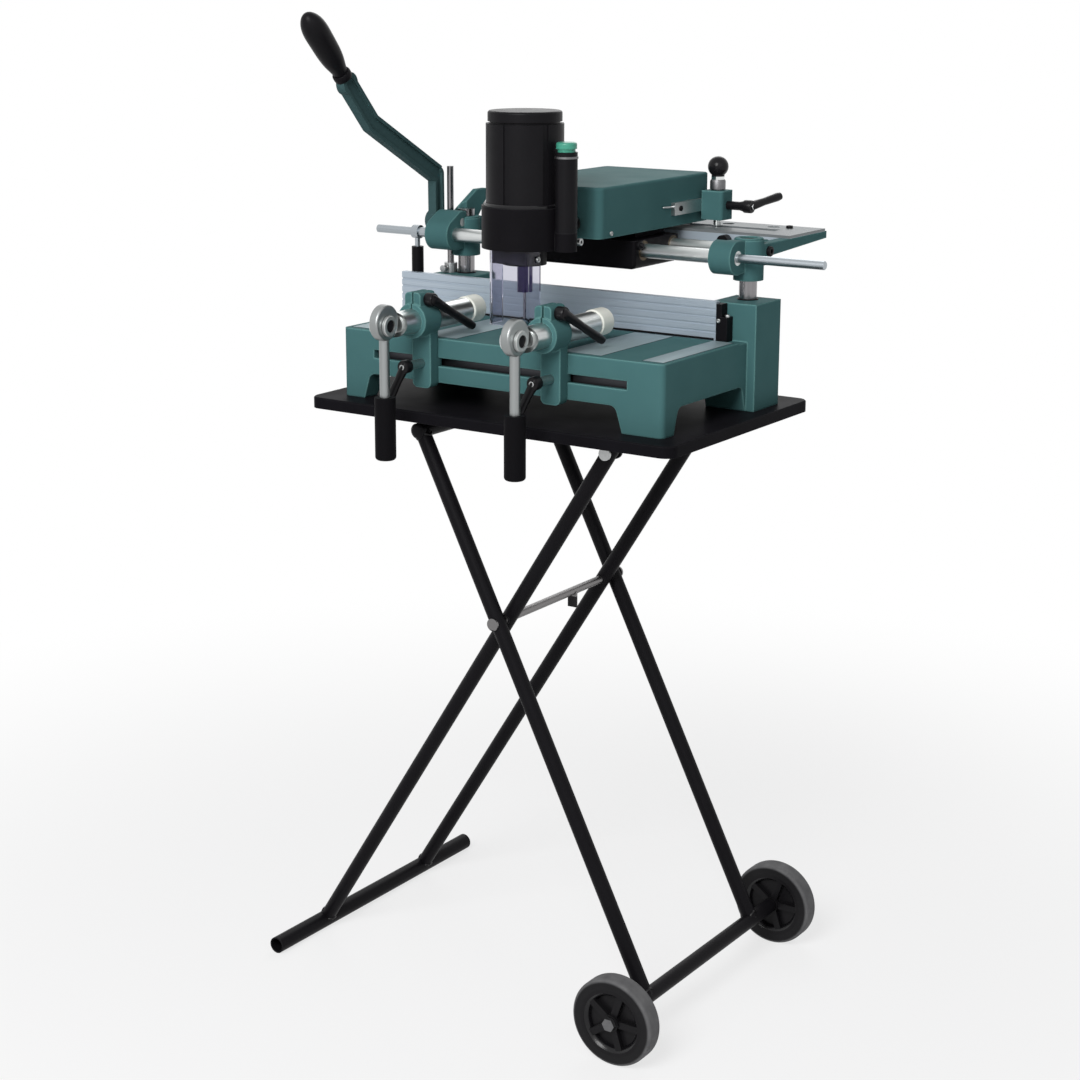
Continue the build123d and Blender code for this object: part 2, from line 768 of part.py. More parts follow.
with BuildPart() as template_plate:
    block(plate_left, arm_outer_x, beam_front, plate_back, arm_top, plate_top)
    block(tracer_x - template_slot_lead, tracer_x - template_slot_lead + template_slot_length,
          tracer_y - template_slot_width / 2, tracer_y + template_slot_width / 2, arm_top, plate_top,
          Mode.SUBTRACT)
    for hole_x in (tracer_x, tracer_x + template_hole_pitch):
        disc_z(template_hole_radius, arm_top, plate_top, hole_x, template_hole_y, Mode.SUBTRACT)
save(Compound(children=[template_beam.part, template_plate.part]), "template_plate")

with BuildPart() as template_knob:
    disc_y(knob_radius, beam_front - free_gap - knob_length, beam_front - free_gap, knob_x, knob_z)
    disc_y(knob_radius / 2, beam_front - free_gap, beam_front + beam_depth / 2 - free_gap, knob_x, knob_z)
save(template_knob.part, "template_knob")

# Lever: an I-section arm in three straight runs, its grip, and the shaft with the pinion
lever_points = (
    (lever_pivot_y, lever_pivot_z),
    (lever_bend_y, lever_bend_z),
    (lever_knee_y, lever_knee_z),
    (lever_grip_y, lever_grip_z),
)


def lever_runs(foot_depth, depth):
    for run in range(3):
        (y0, z0), (y1, z1) = lever_points[run], lever_points[run + 1]
        size = foot_depth if run == 0 else depth
        with Locations(Location(((y0 + y1) / 2, (z0 + z1) / 2), degrees(atan2(z1 - z0, y1 - y0)))):
            Rectangle(hypot(y1 - y0, z1 - z0), size)
        with Locations((y1, z1)):
            Circle(size / 2)


with BuildPart() as lever_arm:
    with BuildSketch(Plane.YZ.offset(lever_x - lever_thickness / 2)):
        with Locations((lever_pivot_y, lever_pivot_z)):
            Circle(lever_hub_radius)
        lever_runs(lever_foot_depth, lever_depth)
        with Locations((lever_grip_y, lever_grip_z)):
            Circle(lever_head_radius)
    extrude(amount=lever_thickness)
    disc_x(lever_hub_radius, lever_x + lever_thickness / 2 - lever_hub_width, lever_x + lever_thickness / 2,
           lever_pivot_y, lever_pivot_z)
    for face in (lever_x - lever_thickness / 2, lever_x + lever_thickness / 2 - lever_recess):
        with BuildSketch(Plane.YZ.offset(face)):
            lever_runs(lever_foot_depth - 2 * lever_rim, lever_depth - 2 * lever_rim)
            with Locations((lever_pivot_y, lever_pivot_z)):
                Circle(lever_hub_radius, mode=Mode.SUBTRACT)
        extrude(amount=lever_recess, mode=Mode.SUBTRACT)
    disc_x(lever_shaft_diameter / 2, lever_x - lever_hub_width, lever_x + lever_hub_width, lever_pivot_y,
           lever_pivot_z, Mode.SUBTRACT)
save(lever_arm.part, "lever_arm")

grip_way = Vector(0, lever_grip_y - lever_knee_y, lever_grip_z - lever_knee_z).normalized()
grip_start = Vector(lever_x, lever_grip_y, lever_grip_z) + grip_way * (lever_head_radius - grip_seat)
with BuildPart() as lever_grip:
    with BuildSketch(Plane(origin=grip_start, x_dir=grip_way, z_dir=(1, 0, 0))):
        with BuildLine():
            Polyline((grip_length, 0), (0, 0), (0, grip_neck_radius))
            Spline((0, grip_neck_radius), (grip_length * grip_shoulder, grip_shoulder_radius),
                   (grip_length * grip_belly, grip_radius), (grip_length * grip_crown, grip_crown_radius),
                   (grip_length, 0), tangents=((1, 0), (0, -1)))
        make_face()
    revolve(axis=Axis(grip_start, grip_way))
    with BuildSketch(Plane.YZ.offset(lever_x - lever_thickness / 2)):
        with Locations((lever_grip_y, lever_grip_z)):
            Circle(lever_head_radius)
    extrude(amount=lever_thickness, mode=Mode.SUBTRACT)
save(lever_grip.part, "lever_grip")

with BuildPart() as lever_shaft:
    disc_x(lever_shaft_diameter / 2, lever_x + lever_thickness / 2 - lever_hub_width, -left_web_inner_x,
           lever_pivot_y, lever_pivot_z)
    with BuildSketch(Plane.YZ.offset(-column_x - pinion_width / 2)):
        with Locations((lever_pivot_y, lever_pivot_z)):
            Circle(pinion_radius - tooth_height - free_gap)
            with PolarLocations((pinion_radius + tooth_height) / 2, pinion_teeth):
                Rectangle(pinion_radius + tooth_height, tooth_pitch / 2 - tooth_slack)
    extrude(amount=pinion_width)
save(lever_shaft.part, "lever_shaft")

# X carriage on the guide rods, with the block that carries the Y slide
with BuildPart() as carriage_block:
    block(head_x - carriage_width / 2, head_x + carriage_width / 2, carriage_front, carriage_back,
          carriage_bottom, carriage_top)
    fillet(carriage_block.edges().filter_by(Axis.Y).group_by(Axis.Z)[0], carriage_round)
    fillet(carriage_block.edges().filter_by(Axis.Z), carriage_corner)
    block(head_x - saddle_block_width / 2, head_x + saddle_block_width / 2, saddle_block_front,
          saddle_block_back, carriage_top, saddle_block_top)
    for rod_y in (front_rod_y, rear_rod_y):
        disc_x(rod_diameter / 2 + linear_bush_wall, head_x - carriage_width / 2, head_x + carriage_width / 2,
               rod_y, rod_z, Mode.SUBTRACT)
    for side in (-1, 1):
        disc_y(rod_diameter / 2 + linear_bush_wall, saddle_block_front, saddle_block_back,
               head_x + side * slide_rod_spacing / 2, slide_rod_z, Mode.SUBTRACT)
save(carriage_block.part, "carriage_block")

with BuildPart() as slide_bushes:
    for side in (-1, 1):
        x_low, x_high = sorted((head_x + side * carriage_width / 2,
                                head_x + side * (carriage_width / 2 - linear_bush_length)))
        for rod_y in (front_rod_y, rear_rod_y):
            disc_x(rod_diameter / 2 + linear_bush_wall, x_low, x_high, rod_y, rod_z)
            disc_x(rod_diameter / 2 + running_gap, x_low, x_high, rod_y, rod_z, Mode.SUBTRACT)
        rod_x = head_x + side * slide_rod_spacing / 2
        for y_low in (saddle_block_front, saddle_block_back - linear_bush_length):
            disc_y(rod_diameter / 2 + linear_bush_wall, y_low, y_low + linear_bush_length, rod_x, slide_rod_z)
            disc_y(rod_diameter / 2 + running_gap, y_low, y_low + linear_bush_length, rod_x, slide_rod_z,
                   Mode.SUBTRACT)
save(slide_bushes.part, "slide_bushes")

# Y slide box: a shell open below, with two rods between its front and rear walls
box_back = box_front + box_depth
with BuildPart() as slide_box:
    block(head_x - box_width / 2, box_right, box_front, box_back, box_bottom, box_top)
    fillet(slide_box.edges().filter_by(Axis.Z), box_corner)
    fillet(slide_box.faces().sort_by(Axis.Z)[-1].edges(), box_edge)
    block(head_x - box_width / 2 + box_wall, box_right - box_wall, box_front + box_wall, box_back - box_wall,
          box_bottom, box_top - box_wall, Mode.SUBTRACT)
    for side in (-1, 1):
        disc_y(rod_diameter / 2, box_front, box_back, head_x + side * slide_rod_spacing / 2, slide_rod_z,
               Mode.SUBTRACT)
save(slide_box.part, "slide_box")

with BuildPart() as y_rods:
    for side in (-1, 1):
        disc_y(rod_diameter / 2, box_front, box_back, head_x + side * slide_rod_spacing / 2, slide_rod_z)
save(y_rods.part, "y_rods")

# Motor bracket: clamp ring, neck to the box, boss under the side handle
with BuildPart() as motor_bracket:
    disc_z(motor_radius + clamp_ring_wall, clamp_ring_bottom, clamp_ring_top, motor_x, motor_y)
    block(motor_x - clamp_neck_width / 2, motor_x + clamp_neck_width / 2, motor_y, box_front, box_bottom,
          clamp_ring_top)
    disc_z(handle_radius, clamp_ring_bottom, handle_bottom, handle_x, handle_y)
    disc_z(motor_radius, clamp_ring_bottom, clamp_ring_top, motor_x, motor_y, Mode.SUBTRACT)
    disc_z(handle_radius, handle_bottom, clamp_ring_top, handle_x, handle_y, Mode.SUBTRACT)
    block(motor_x - motor_radius, motor_x + motor_radius, box_front, box_front + motor_radius,
          clamp_ring_bottom, clamp_ring_top, Mode.SUBTRACT)
save(motor_bracket.part, "motor_bracket")

with BuildPart() as motor_housing:
    disc_z(nose_radius, nose_bottom, clamp_ring_bottom, motor_x, motor_y)
    disc_z(motor_radius, clamp_ring_bottom, motor_top - motor_cap_height - motor_gap, motor_x, motor_y)
    disc_z(motor_cap_radius - motor_gap, motor_top - motor_cap_height - motor_gap, motor_top - motor_cap_height,
           motor_x, motor_y)
    disc_z(motor_cap_radius, motor_top - motor_cap_height, motor_top, motor_x, motor_y)
    fillet(motor_housing.edges().filter_by(GeomType.CIRCLE).sort_by(Axis.Z)[-1], motor_cap_round)
    with Locations((motor_x, motor_y, (clamp_ring_top + motor_top - motor_cap_height) / 2)):
        with PolarLocations(motor_radius, motor_grooves, start_angle=motor_groove_turn):
            Box(2 * motor_groove_depth, motor_groove_width, motor_top - motor_cap_height - clamp_ring_top,
                mode=Mode.SUBTRACT)
    disc_z(spindle_radius + running_gap, nose_bottom, spindle_top + free_gap, motor_x, motor_y, Mode.SUBTRACT)
save(motor_housing.part, "motor_housing")

# Side handle with the push button in its top
button_floor = handle_top - button_seat
with BuildPart() as side_handle:
    disc_z(handle_radius, handle_bottom, handle_top, handle_x, handle_y)
    disc_z(button_radius + free_gap, button_floor, handle_top, handle_x, handle_y, Mode.SUBTRACT)
save(side_handle.part, "side_handle")

with BuildPart() as switch_button:
    disc_z(button_radius, button_floor + button_travel + free_gap, handle_top + button_height, handle_x,
           handle_y)
    disc_z(button_cap_radius, handle_top + button_travel + free_gap, handle_top + button_height, handle_x,
           handle_y)
    fillet(switch_button.edges().filter_by(GeomType.CIRCLE).sort_by(Axis.Z)[-1], button_round)
save(switch_button.part, "switch_button")

# Spindle with its collet, the cutter in it, and the clear chip guard
with BuildPart() as spindle:
    disc_z(spindle_radius, collet_bottom, spindle_top, motor_x, motor_y)
    disc_z(collet_radius, collet_bottom, nose_bottom - wide_gap, motor_x, motor_y)
    disc_z(cutter_radius, collet_bottom, collet_bottom + cutter_grip, motor_x, motor_y, Mode.SUBTRACT)
save(spindle.part, "spindle")

with BuildPart() as cutter:
    disc_z(cutter_radius, cutter_bottom, collet_bottom + cutter_grip, motor_x, motor_y)
save(cutter.part, "cutter")

with BuildPart() as chip_guard:
    guard_back = guard_front + guard_depth
    guard_left = motor_x - (guard_width - guard_thickness) / 2
    guard_right = motor_x + (guard_width - guard_thickness) / 2
    with BuildSketch(Plane.XY.offset(guard_bottom)):
        with BuildLine():
            FilletPolyline((guard_left, guard_back), (guard_left, guard_front), (guard_right, guard_front),
                           (guard_right, guard_back), radius=guard_bend)
        trace(line_width=guard_thickness)
    extrude(amount=clamp_ring_bottom - guard_bottom)
save(chip_guard.part, "chip_guard")

# Tracer: bar on the box, block on the bar, stepped pin with a ball, clamp lever
tracer_low_y = tracer_y - tracer_block_size / 2
tracer_high_y = tracer_y + tracer_block_size / 2
with BuildPart() as tracer_bar:
    block(box_right, box_right + tracer_bar_thickness, tracer_bar_front, tracer_high_y,
          tracer_lever_z - tracer_bar_height / 2, tracer_lever_z + tracer_bar_height / 2)
save(tracer_bar.part, "tracer_bar")

tracer_outer_x = tracer_x + tracer_block_size / 2
with BuildPart() as tracer_block:
    block(tracer_x - tracer_block_size / 2, tracer_outer_x, tracer_low_y, tracer_high_y, tracer_block_bottom,
          tracer_block_top)
    outer_edges = tracer_block.edges().filter_by(Axis.Z).filter_by_position(Axis.X, tracer_x, tracer_outer_x)
    fillet(outer_edges, tracer_corner)
    disc_z(tracer_pin_radius + running_gap, tracer_block_bottom, tracer_block_top, tracer_x, tracer_y,
           Mode.SUBTRACT)
    disc_x(clamp_stud_radius + running_gap, tracer_x, tracer_outer_x, tracer_y, tracer_lever_z, Mode.SUBTRACT)
save(tracer_block.part, "tracer_block")

with BuildPart() as tracer_pin:
    disc_z(tracer_pin_radius, tracer_pin_bottom, tracer_ball_z, tracer_x, tracer_y)
    disc_z(tracer_neck_radius, tracer_block_top + tracer_drop, tracer_neck_top, tracer_x, tracer_y)
    with Locations((tracer_x, tracer_y, tracer_ball_z)):
        Sphere(tracer_ball_radius)
save(tracer_pin.part, "tracer_pin")

with BuildPart() as tracer_lever:
    hub_x = tracer_outer_x + tracer_stud_reach
    disc_x(lever_hub_size, hub_x, hub_x + lever_hub_length, tracer_y, tracer_lever_z)
    disc_x(lever_neck_radius, tracer_outer_x + free_gap, hub_x, tracer_y, tracer_lever_z)
    disc_x(clamp_stud_radius, tracer_x + tracer_pin_radius + wide_gap, hub_x, tracer_y, tracer_lever_z)
    arm_start = Vector(hub_x + lever_hub_size, tracer_y, tracer_lever_z)
    arm_end = arm_start + Vector(*tracer_lever_reach)
    rod_between(lever_arm_radius, tuple(arm_start), tuple(arm_end))
    with Locations(tuple(arm_end)):
        Sphere(lever_arm_radius)
save(tracer_lever.part, "tracer_lever")


# One clamp: bracket on the T slot, barrel with the cam's pivot, tip, cam handle, two locking levers
def clamp(x, name):
    housing_mid = (housing_front + housing_back) / 2
    with BuildPart() as bracket:
        block(x - bracket_width / 2, x + bracket_width / 2, bracket_front, base_front - free_gap,
              bracket_bottom, clamp_axis_z)
        fillet(bracket.edges().filter_by(Axis.Y).group_by(Axis.Z)[0], bracket_round)
        disc_y(housing_radius, housing_front, housing_back, x, clamp_axis_z)
        block(x - lug_width / 2, x + lug_width / 2, housing_front + lug_split, housing_back, clamp_axis_z,
              lug_top)
        fillet(bracket.edges().filter_by(Axis.Y).group_by(Axis.Z)[-1], lug_round)
        block(x - bracket_width / 2, x + bracket_width / 2, base_front - free_gap,
              base_front + slot_depth - free_gap,
              slot_centre_z - slot_height / 2 + free_gap, slot_centre_z + slot_height / 2 - free_gap)
        block(x - lug_split / 2, x + lug_split / 2, housing_front, housing_back, clamp_axis_z, lug_top,
              Mode.SUBTRACT)
        disc_y(barrel_radius + running_gap, housing_front, base_front, x, clamp_axis_z, Mode.SUBTRACT)
        disc_x(clamp_stud_radius + running_gap, x - lug_width, x + lug_width, housing_mid, ratchet_z,
               Mode.SUBTRACT)
        disc_y(clamp_stud_radius + running_gap, bracket_front, base_front + slot_depth, x, slot_centre_z,
               Mode.SUBTRACT)
    save(bracket.part, f"{name}_clamp_bracket")

    with BuildPart() as barrel:
        disc_y(barrel_radius, barrel_front, barrel_back, x, clamp_axis_z)
        ear_x = x - cam_width / 2 - wide_gap
        block(ear_x - cam_ear_width, ear_x, cam_pivot_y, barrel_front + cam_ear_overlap,
              cam_pivot_z - cam_collar_radius, cam_pivot_z + cam_collar_radius)
        disc_x(cam_collar_radius, ear_x - cam_ear_width, ear_x, cam_pivot_y, cam_pivot_z)
        disc_x(cam_radius + cam_throw + wide_gap, ear_x, x + barrel_radius, cam_pivot_y, cam_pivot_z,
               Mode.SUBTRACT)
        disc_y(barrel_bore, plunger_front - cam_to_plunger, barrel_back, x, clamp_axis_z, Mode.SUBTRACT)
        collar_x = x + cam_width / 2 + wide_gap
        disc_x(cam_pin_radius, ear_x, collar_x, cam_pivot_y, cam_pivot_z)
        disc_x(cam_collar_radius, collar_x, collar_x + cam_collar_height, cam_pivot_y, cam_pivot_z)
        disc_x(cam_socket_radius, x, collar_x + cam_collar_height, cam_pivot_y, cam_pivot_z, Mode.SUBTRACT)
    save(barrel.part, f"{name}_clamp_barrel")

    with BuildPart() as tip:
        disc_y(tip_radius, tip_front, tip_back, x, clamp_axis_z)
        fillet(tip.edges().filter_by(GeomType.CIRCLE), tip_round)
        disc_y(plunger_radius, plunger_front, tip_front, x, clamp_axis_z)
    save(tip.part, f"{name}_clamp_tip")

    with BuildPart() as handle:
        disc_x(cam_radius, x - cam_width / 2, x + cam_width / 2, cam_pivot_y, cam_centre_z)
        fillet(handle.edges().filter_by(GeomType.CIRCLE), cam_round)
        disc_z(handle_rod_radius, handle_rod_end, cam_pivot_z, x, cam_pivot_y)
        disc_z(handle_grip_radius, handle_grip_end, handle_rod_end, x, cam_pivot_y)
        fillet(handle.edges().filter_by(GeomType.CIRCLE).sort_by(Axis.Z)[0], handle_grip_round)
        disc_x(cam_pin_radius + running_gap, x - cam_width, x + cam_width, cam_pivot_y, cam_pivot_z,
               Mode.SUBTRACT)
    save(handle.part, f"{name}_clamp_handle")

    with BuildPart() as ratchet:
        hub_x = x + lug_width / 2 + free_gap
        disc_x(lever_hub_size, hub_x, hub_x + lever_hub_length, housing_mid, ratchet_z)
        disc_x(clamp_stud_radius, x - lug_width / 2, hub_x, housing_mid, ratchet_z)
        start = Vector(hub_x + lever_arm_start, housing_mid, ratchet_z)
        end = start + Vector(*ratchet_reach)
        rod_between(lever_arm_radius, tuple(start), tuple(end))
        with Locations(tuple(end)):
            Sphere(lever_arm_radius)
    save(ratchet.part, f"{name}_ratchet_lever")

    with BuildPart() as lock:
        neck_y = bracket_front - free_gap
        hub_y = neck_y - lock_stud_reach
        disc_y(lever_hub_size, hub_y - lever_hub_length, hub_y, x, slot_centre_z)
        disc_y(lever_neck_radius, hub_y, neck_y, x, slot_centre_z)
        disc_y(clamp_stud_radius, hub_y, base_front + 1.5 * slot_depth, x, slot_centre_z)
        disc_y(slot_nut_radius, base_front + slot_depth + free_gap, base_front + 2 * slot_depth - free_gap, x,
               slot_centre_z)
        start = Vector(x, hub_y - lever_hub_size, slot_centre_z)
        end = start + Vector(*lock_reach)
        rod_between(lever_arm_radius, tuple(start), tuple(end))
        with Locations(tuple(end)):
            Sphere(lever_arm_radius)
    save(lock.part, f"{name}_lock_lever")


clamp(clamp_left_x, "left")
clamp(clamp_right_x, "right")
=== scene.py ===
import bpy
import bmesh
from math import pi, radians
from mathutils import Matrix, Vector


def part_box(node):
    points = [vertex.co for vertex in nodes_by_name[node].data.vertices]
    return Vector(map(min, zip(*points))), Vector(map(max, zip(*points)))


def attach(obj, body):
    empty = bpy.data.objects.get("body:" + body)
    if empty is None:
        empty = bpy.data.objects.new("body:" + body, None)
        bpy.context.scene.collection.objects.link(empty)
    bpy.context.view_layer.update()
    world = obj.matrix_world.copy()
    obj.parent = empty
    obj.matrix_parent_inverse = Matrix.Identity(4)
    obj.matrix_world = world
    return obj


# Dresses the solids of the copy router: finishes, small fittings, light, floor and camera
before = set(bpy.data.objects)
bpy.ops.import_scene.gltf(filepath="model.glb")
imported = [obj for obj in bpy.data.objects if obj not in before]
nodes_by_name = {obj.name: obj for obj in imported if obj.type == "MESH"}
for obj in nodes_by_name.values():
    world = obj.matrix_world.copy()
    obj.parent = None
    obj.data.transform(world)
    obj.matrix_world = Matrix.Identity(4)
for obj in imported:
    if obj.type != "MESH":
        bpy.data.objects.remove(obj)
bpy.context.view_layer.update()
MM = 0.001
UP = (0, 0, 1)
RIGHT = (1, 0, 0)
FRONT = (0, -1, 0)
BACK = (0, 1, 0)

# Camera of the photograph, in metres, degrees and pixels of a 1080 by 1080 frame
CAMERA_PLACE = (1.6367, -2.4817, 1.4473)
CAMERA_YAW = 34.685
CAMERA_PITCH = 13.617
FRAME_PIXELS = 1080
FOCAL_PIXELS = 2120.9
AXIS_PIXEL_X = 512.2
AXIS_PIXEL_Y = 488.0
SENSOR = 36.0

# Finishes, as linear colours
TEAL_PAINT = (0.0685, 0.163, 0.167)
TEAL_PAINT_DARK = (0.055, 0.138, 0.142)
# Lighter teal of the edges: thinned paint and a painted highlight
TEAL_WORN_AND_HIGHLIGHT = (0.17, 0.36, 0.35)
# The lever arm's teal is a darker copy of the casting teal.
LEVER_TEAL = (0.054, 0.104, 0.108)
LEVER_TEAL_DARK = (0.042, 0.084, 0.088)
LEVER_WORN = (0.10, 0.18, 0.18)
BLACK_COAT = (0.0085, 0.0078, 0.0095)
BLACK_DEEP = (0.0055, 0.0052, 0.0062)
BLACK_COAT_WORN = (0.05, 0.05, 0.054)
BLACK_BOARD = (0.010, 0.0095, 0.012)
BLACK_MOULDING = (0.0090, 0.0085, 0.0100)
HUB_BLACK = (0.0115, 0.0110, 0.0122)
RUBBER_BLACK = (0.0130, 0.0128, 0.0138)
RUBBER_SHADE = (0.0090, 0.0088, 0.0098)
# Lighter grey of the tread: floor dust and a painted highlight on its upper side
TREAD_DUST_AND_HIGHLIGHT = (0.19, 0.19, 0.193)
TREAD_SHADE = (0.082, 0.082, 0.086)
DULL_STEEL = (0.19, 0.19, 0.195)
DULL_SHADE = (0.13, 0.13, 0.135)
ALUMINIUM = (0.48, 0.55, 0.62)
ALUMINIUM_SHADE = (0.36, 0.42, 0.49)
PLATE_GREY = (0.215, 0.230, 0.238)
CHROME = (0.72, 0.74, 0.73)
CHROME_SHADE = (0.54, 0.56, 0.56)
COLUMN_STEEL = (0.30, 0.29, 0.30)
COLUMN_SHADE = (0.20, 0.195, 0.20)
PIVOT_STEEL = (0.20, 0.195, 0.195)
ZINC = (0.52, 0.53, 0.53)
ZINC_SHADE = (0.40, 0.41, 0.41)
STRIP_LIGHT = (0.340, 0.430, 0.455)
STRIP_SHADE = (0.250, 0.325, 0.350)
SATIN_SILVER = (0.50, 0.515, 0.51)
SATIN_SHADE = (0.40, 0.415, 0.41)
HANDLE_SILVER = (0.31, 0.325, 0.325)
BAR_STEEL = (0.44, 0.48, 0.51)
BAR_SHADE = (0.32, 0.35, 0.375)
BRONZE = (0.10, 0.075, 0.045)
BRONZE_SHADE = (0.06, 0.045, 0.028)
# Near-black steel of the slot floor, dark as a painted shade of the slot
SLOT_STEEL_IN_PAINTED_SHADE = (0.09, 0.09, 0.10)
SLOT_SHADE = (0.05, 0.05, 0.055)
SPINDLE_BLUE = (0.075, 0.060, 0.150)
SPINDLE_SHADE = (0.05, 0.04, 0.11)
CUTTER_STEEL = (0.38, 0.38, 0.40)
CUTTER_SHADE = (0.28, 0.28, 0.30)
NYLON = (0.82, 0.83, 0.76)
BUTTON_GREEN = (0.060, 0.33, 0.23)
BUTTON_SHADE = (0.045, 0.27, 0.19)
GUARD_TINT = (0.61, 0.61, 0.69)
MOUNT_VIOLET = (0.060, 0.055, 0.082)
FLOOR_PALE = (0.86, 0.86, 0.87)

# Shared effects


def new_group(name, inputs, outputs):
    group = bpy.data.node_groups.new(name, "ShaderNodeTree")
    for kind, label, value in inputs:
        socket = group.interface.new_socket(label, in_out="INPUT", socket_type=kind)
        socket.default_value = value
    for kind, label in outputs:
        group.interface.new_socket(label, in_out="OUTPUT", socket_type=kind)
    inside = group.nodes.new("NodeGroupInput")
    outside = group.nodes.new("NodeGroupOutput")
    return group, inside, outside


def object_place(tree):
    return tree.nodes.new("ShaderNodeTexCoord").outputs["Object"]


def paint_mottle_group():
    """Slow unevenness of a painted or moulded face, from a base colour to its darker tone."""
    group, inside, outside = new_group(
        "paint_mottle",
        (("NodeSocketColor", "Light", (1, 1, 1, 1)), ("NodeSocketColor", "Dark", (0, 0, 0, 1)),
         ("NodeSocketFloat", "Scale", 18.0), ("NodeSocketFloat", "Rough Low", 0.35),
         ("NodeSocketFloat", "Rough High", 0.5)),
        (("NodeSocketColor", "Colour"), ("NodeSocketFloat", "Roughness")))
    noise = group.nodes.new("ShaderNodeTexNoise")
    noise.inputs["Detail"].default_value = 4.0
    mix = group.nodes.new("ShaderNodeMix")
    mix.data_type = "RGBA"
    spread = group.nodes.new("ShaderNodeMapRange")
    group.links.new(object_place(group), noise.inputs["Vector"])
    group.links.new(inside.outputs["Scale"], noise.inputs["Scale"])
    group.links.new(noise.outputs["Fac"], mix.inputs["Factor"])
    group.links.new(inside.outputs["Light"], mix.inputs["A"])
    group.links.new(inside.outputs["Dark"], mix.inputs["B"])
    group.links.new(noise.outputs["Fac"], spread.inputs["Value"])
    group.links.new(inside.outputs["Rough Low"], spread.inputs["To Min"])
    group.links.new(inside.outputs["Rough High"], spread.inputs["To Max"])
    group.links.new(mix.outputs["Result"], outside.inputs["Colour"])
    group.links.new(spread.outputs["Result"], outside.inputs["Roughness"])
    return group


def edge_wear_and_highlight_group():
    """Rounded look of a cast or folded edge, and a mask of where its colour lightens: paint thinned along it,
    and on the teal castings a painted highlight.
    """
    group, inside, outside = new_group(
        "edge_wear_and_highlight",
        (("NodeSocketFloat", "Radius", 1.2 * MM), ("NodeSocketFloat", "Gain", 2.2)),
        (("NodeSocketVector", "Normal"), ("NodeSocketFloat", "Worn And Highlight")))
    bevel = group.nodes.new("ShaderNodeBevel")
    bevel.samples = 6
    geometry = group.nodes.new("ShaderNodeNewGeometry")
    facing = group.nodes.new("ShaderNodeVectorMath")
    facing.operation = "DOT_PRODUCT"
    lost = group.nodes.new("ShaderNodeMath")
    lost.operation = "SUBTRACT"
    lost.inputs[0].default_value = 1.0
    gained = group.nodes.new("ShaderNodeMath")
    gained.operation = "MULTIPLY"
    gained.use_clamp = True
    group.links.new(inside.outputs["Radius"], bevel.inputs["Radius"])
    group.links.new(bevel.outputs["Normal"], facing.inputs[0])
    group.links.new(geometry.outputs["Normal"], facing.inputs[1])
    group.links.new(facing.outputs["Value"], lost.inputs[1])
    group.links.new(lost.outputs["Value"], gained.inputs[0])
    group.links.new(inside.outputs["Gain"], gained.inputs[1])
    group.links.new(bevel.outputs["Normal"], outside.inputs["Normal"])
    group.links.new(gained.outputs["Value"], outside.inputs["Worn And Highlight"])
    return group


def fine_grain_group():
    """Height of a fine cast, sprayed or moulded grain."""
    group, inside, outside = new_group(
        "fine_grain", (("NodeSocketFloat", "Scale", 900.0),), (("NodeSocketFloat", "Height"),))
    noise = group.nodes.new("ShaderNodeTexNoise")
    noise.inputs["Detail"].default_value = 2.0
    group.links.new(object_place(group), noise.inputs["Vector"])
    group.links.new(inside.outputs["Scale"], noise.inputs["Scale"])
    group.links.new(noise.outputs["Fac"], outside.inputs["Height"])
    return group


def drawn_lines_group():
    """Long fine lines left by drawing, grinding or turning, stretched along the axis with the small scale."""
    group, inside, outside = new_group(
        "drawn_lines",
        (("NodeSocketVector", "Scales", (3.0, 900.0, 900.0)), ("NodeSocketFloat", "Low", 0.2),
         ("NodeSocketFloat", "High", 0.35)),
        (("NodeSocketFloat", "Lines"), ("NodeSocketFloat", "Roughness")))
    stretch = group.nodes.new("ShaderNodeVectorMath")
    stretch.operation = "MULTIPLY"
    noise = group.nodes.new("ShaderNodeTexNoise")
    noise.inputs["Scale"].default_value = 1.0
    noise.inputs["Detail"].default_value = 3.0
    spread = group.nodes.new("ShaderNodeMapRange")
    group.links.new(object_place(group), stretch.inputs[0])
    group.links.new(inside.outputs["Scales"], stretch.inputs[1])
    group.links.new(stretch.outputs["Vector"], noise.inputs["Vector"])
    group.links.new(noise.outputs["Fac"], spread.inputs["Value"])
    group.links.new(inside.outputs["Low"], spread.inputs["To Min"])
    group.links.new(inside.outputs["High"], spread.inputs["To Max"])
    group.links.new(noise.outputs["Fac"], outside.inputs["Lines"])
    group.links.new(spread.outputs["Result"], outside.inputs["Roughness"])
    return group


PAINT_MOTTLE = paint_mottle_group()
EDGE_WEAR_AND_HIGHLIGHT = edge_wear_and_highlight_group()
FINE_GRAIN = fine_grain_group()
DRAWN_LINES = drawn_lines_group()


def use_group(tree, group, **values):
    node = tree.nodes.new("ShaderNodeGroup")
    node.node_tree = group
    for label, value in values.items():
        socket = node.inputs[label.replace("_", " ")]
        socket.default_value = (*value, 1.0) if socket.type == "RGBA" else value
    return node


def tone_mix(tree, factor, first, second):
    """Two flat colours, mixed by a mask or a pattern."""
    mix = tree.nodes.new("ShaderNodeMix")
    mix.data_type = "RGBA"
    mix.inputs["A"].default_value = (*first, 1.0)
    mix.inputs["B"].default_value = (*second, 1.0)
    tree.links.new(factor, mix.inputs["Factor"])
    return mix.outputs["Result"]


def mixed(tree, kind, factor, first, second):
    """Two outputs of one kind, mixed by a mask."""
    mix = tree.nodes.new("ShaderNodeMix")
    mix.data_type = kind
    tree.links.new(factor, mix.inputs["Factor"])
    tree.links.new(first, mix.inputs["A"])
    tree.links.new(second, mix.inputs["B"])
    return mix.outputs["Result"]


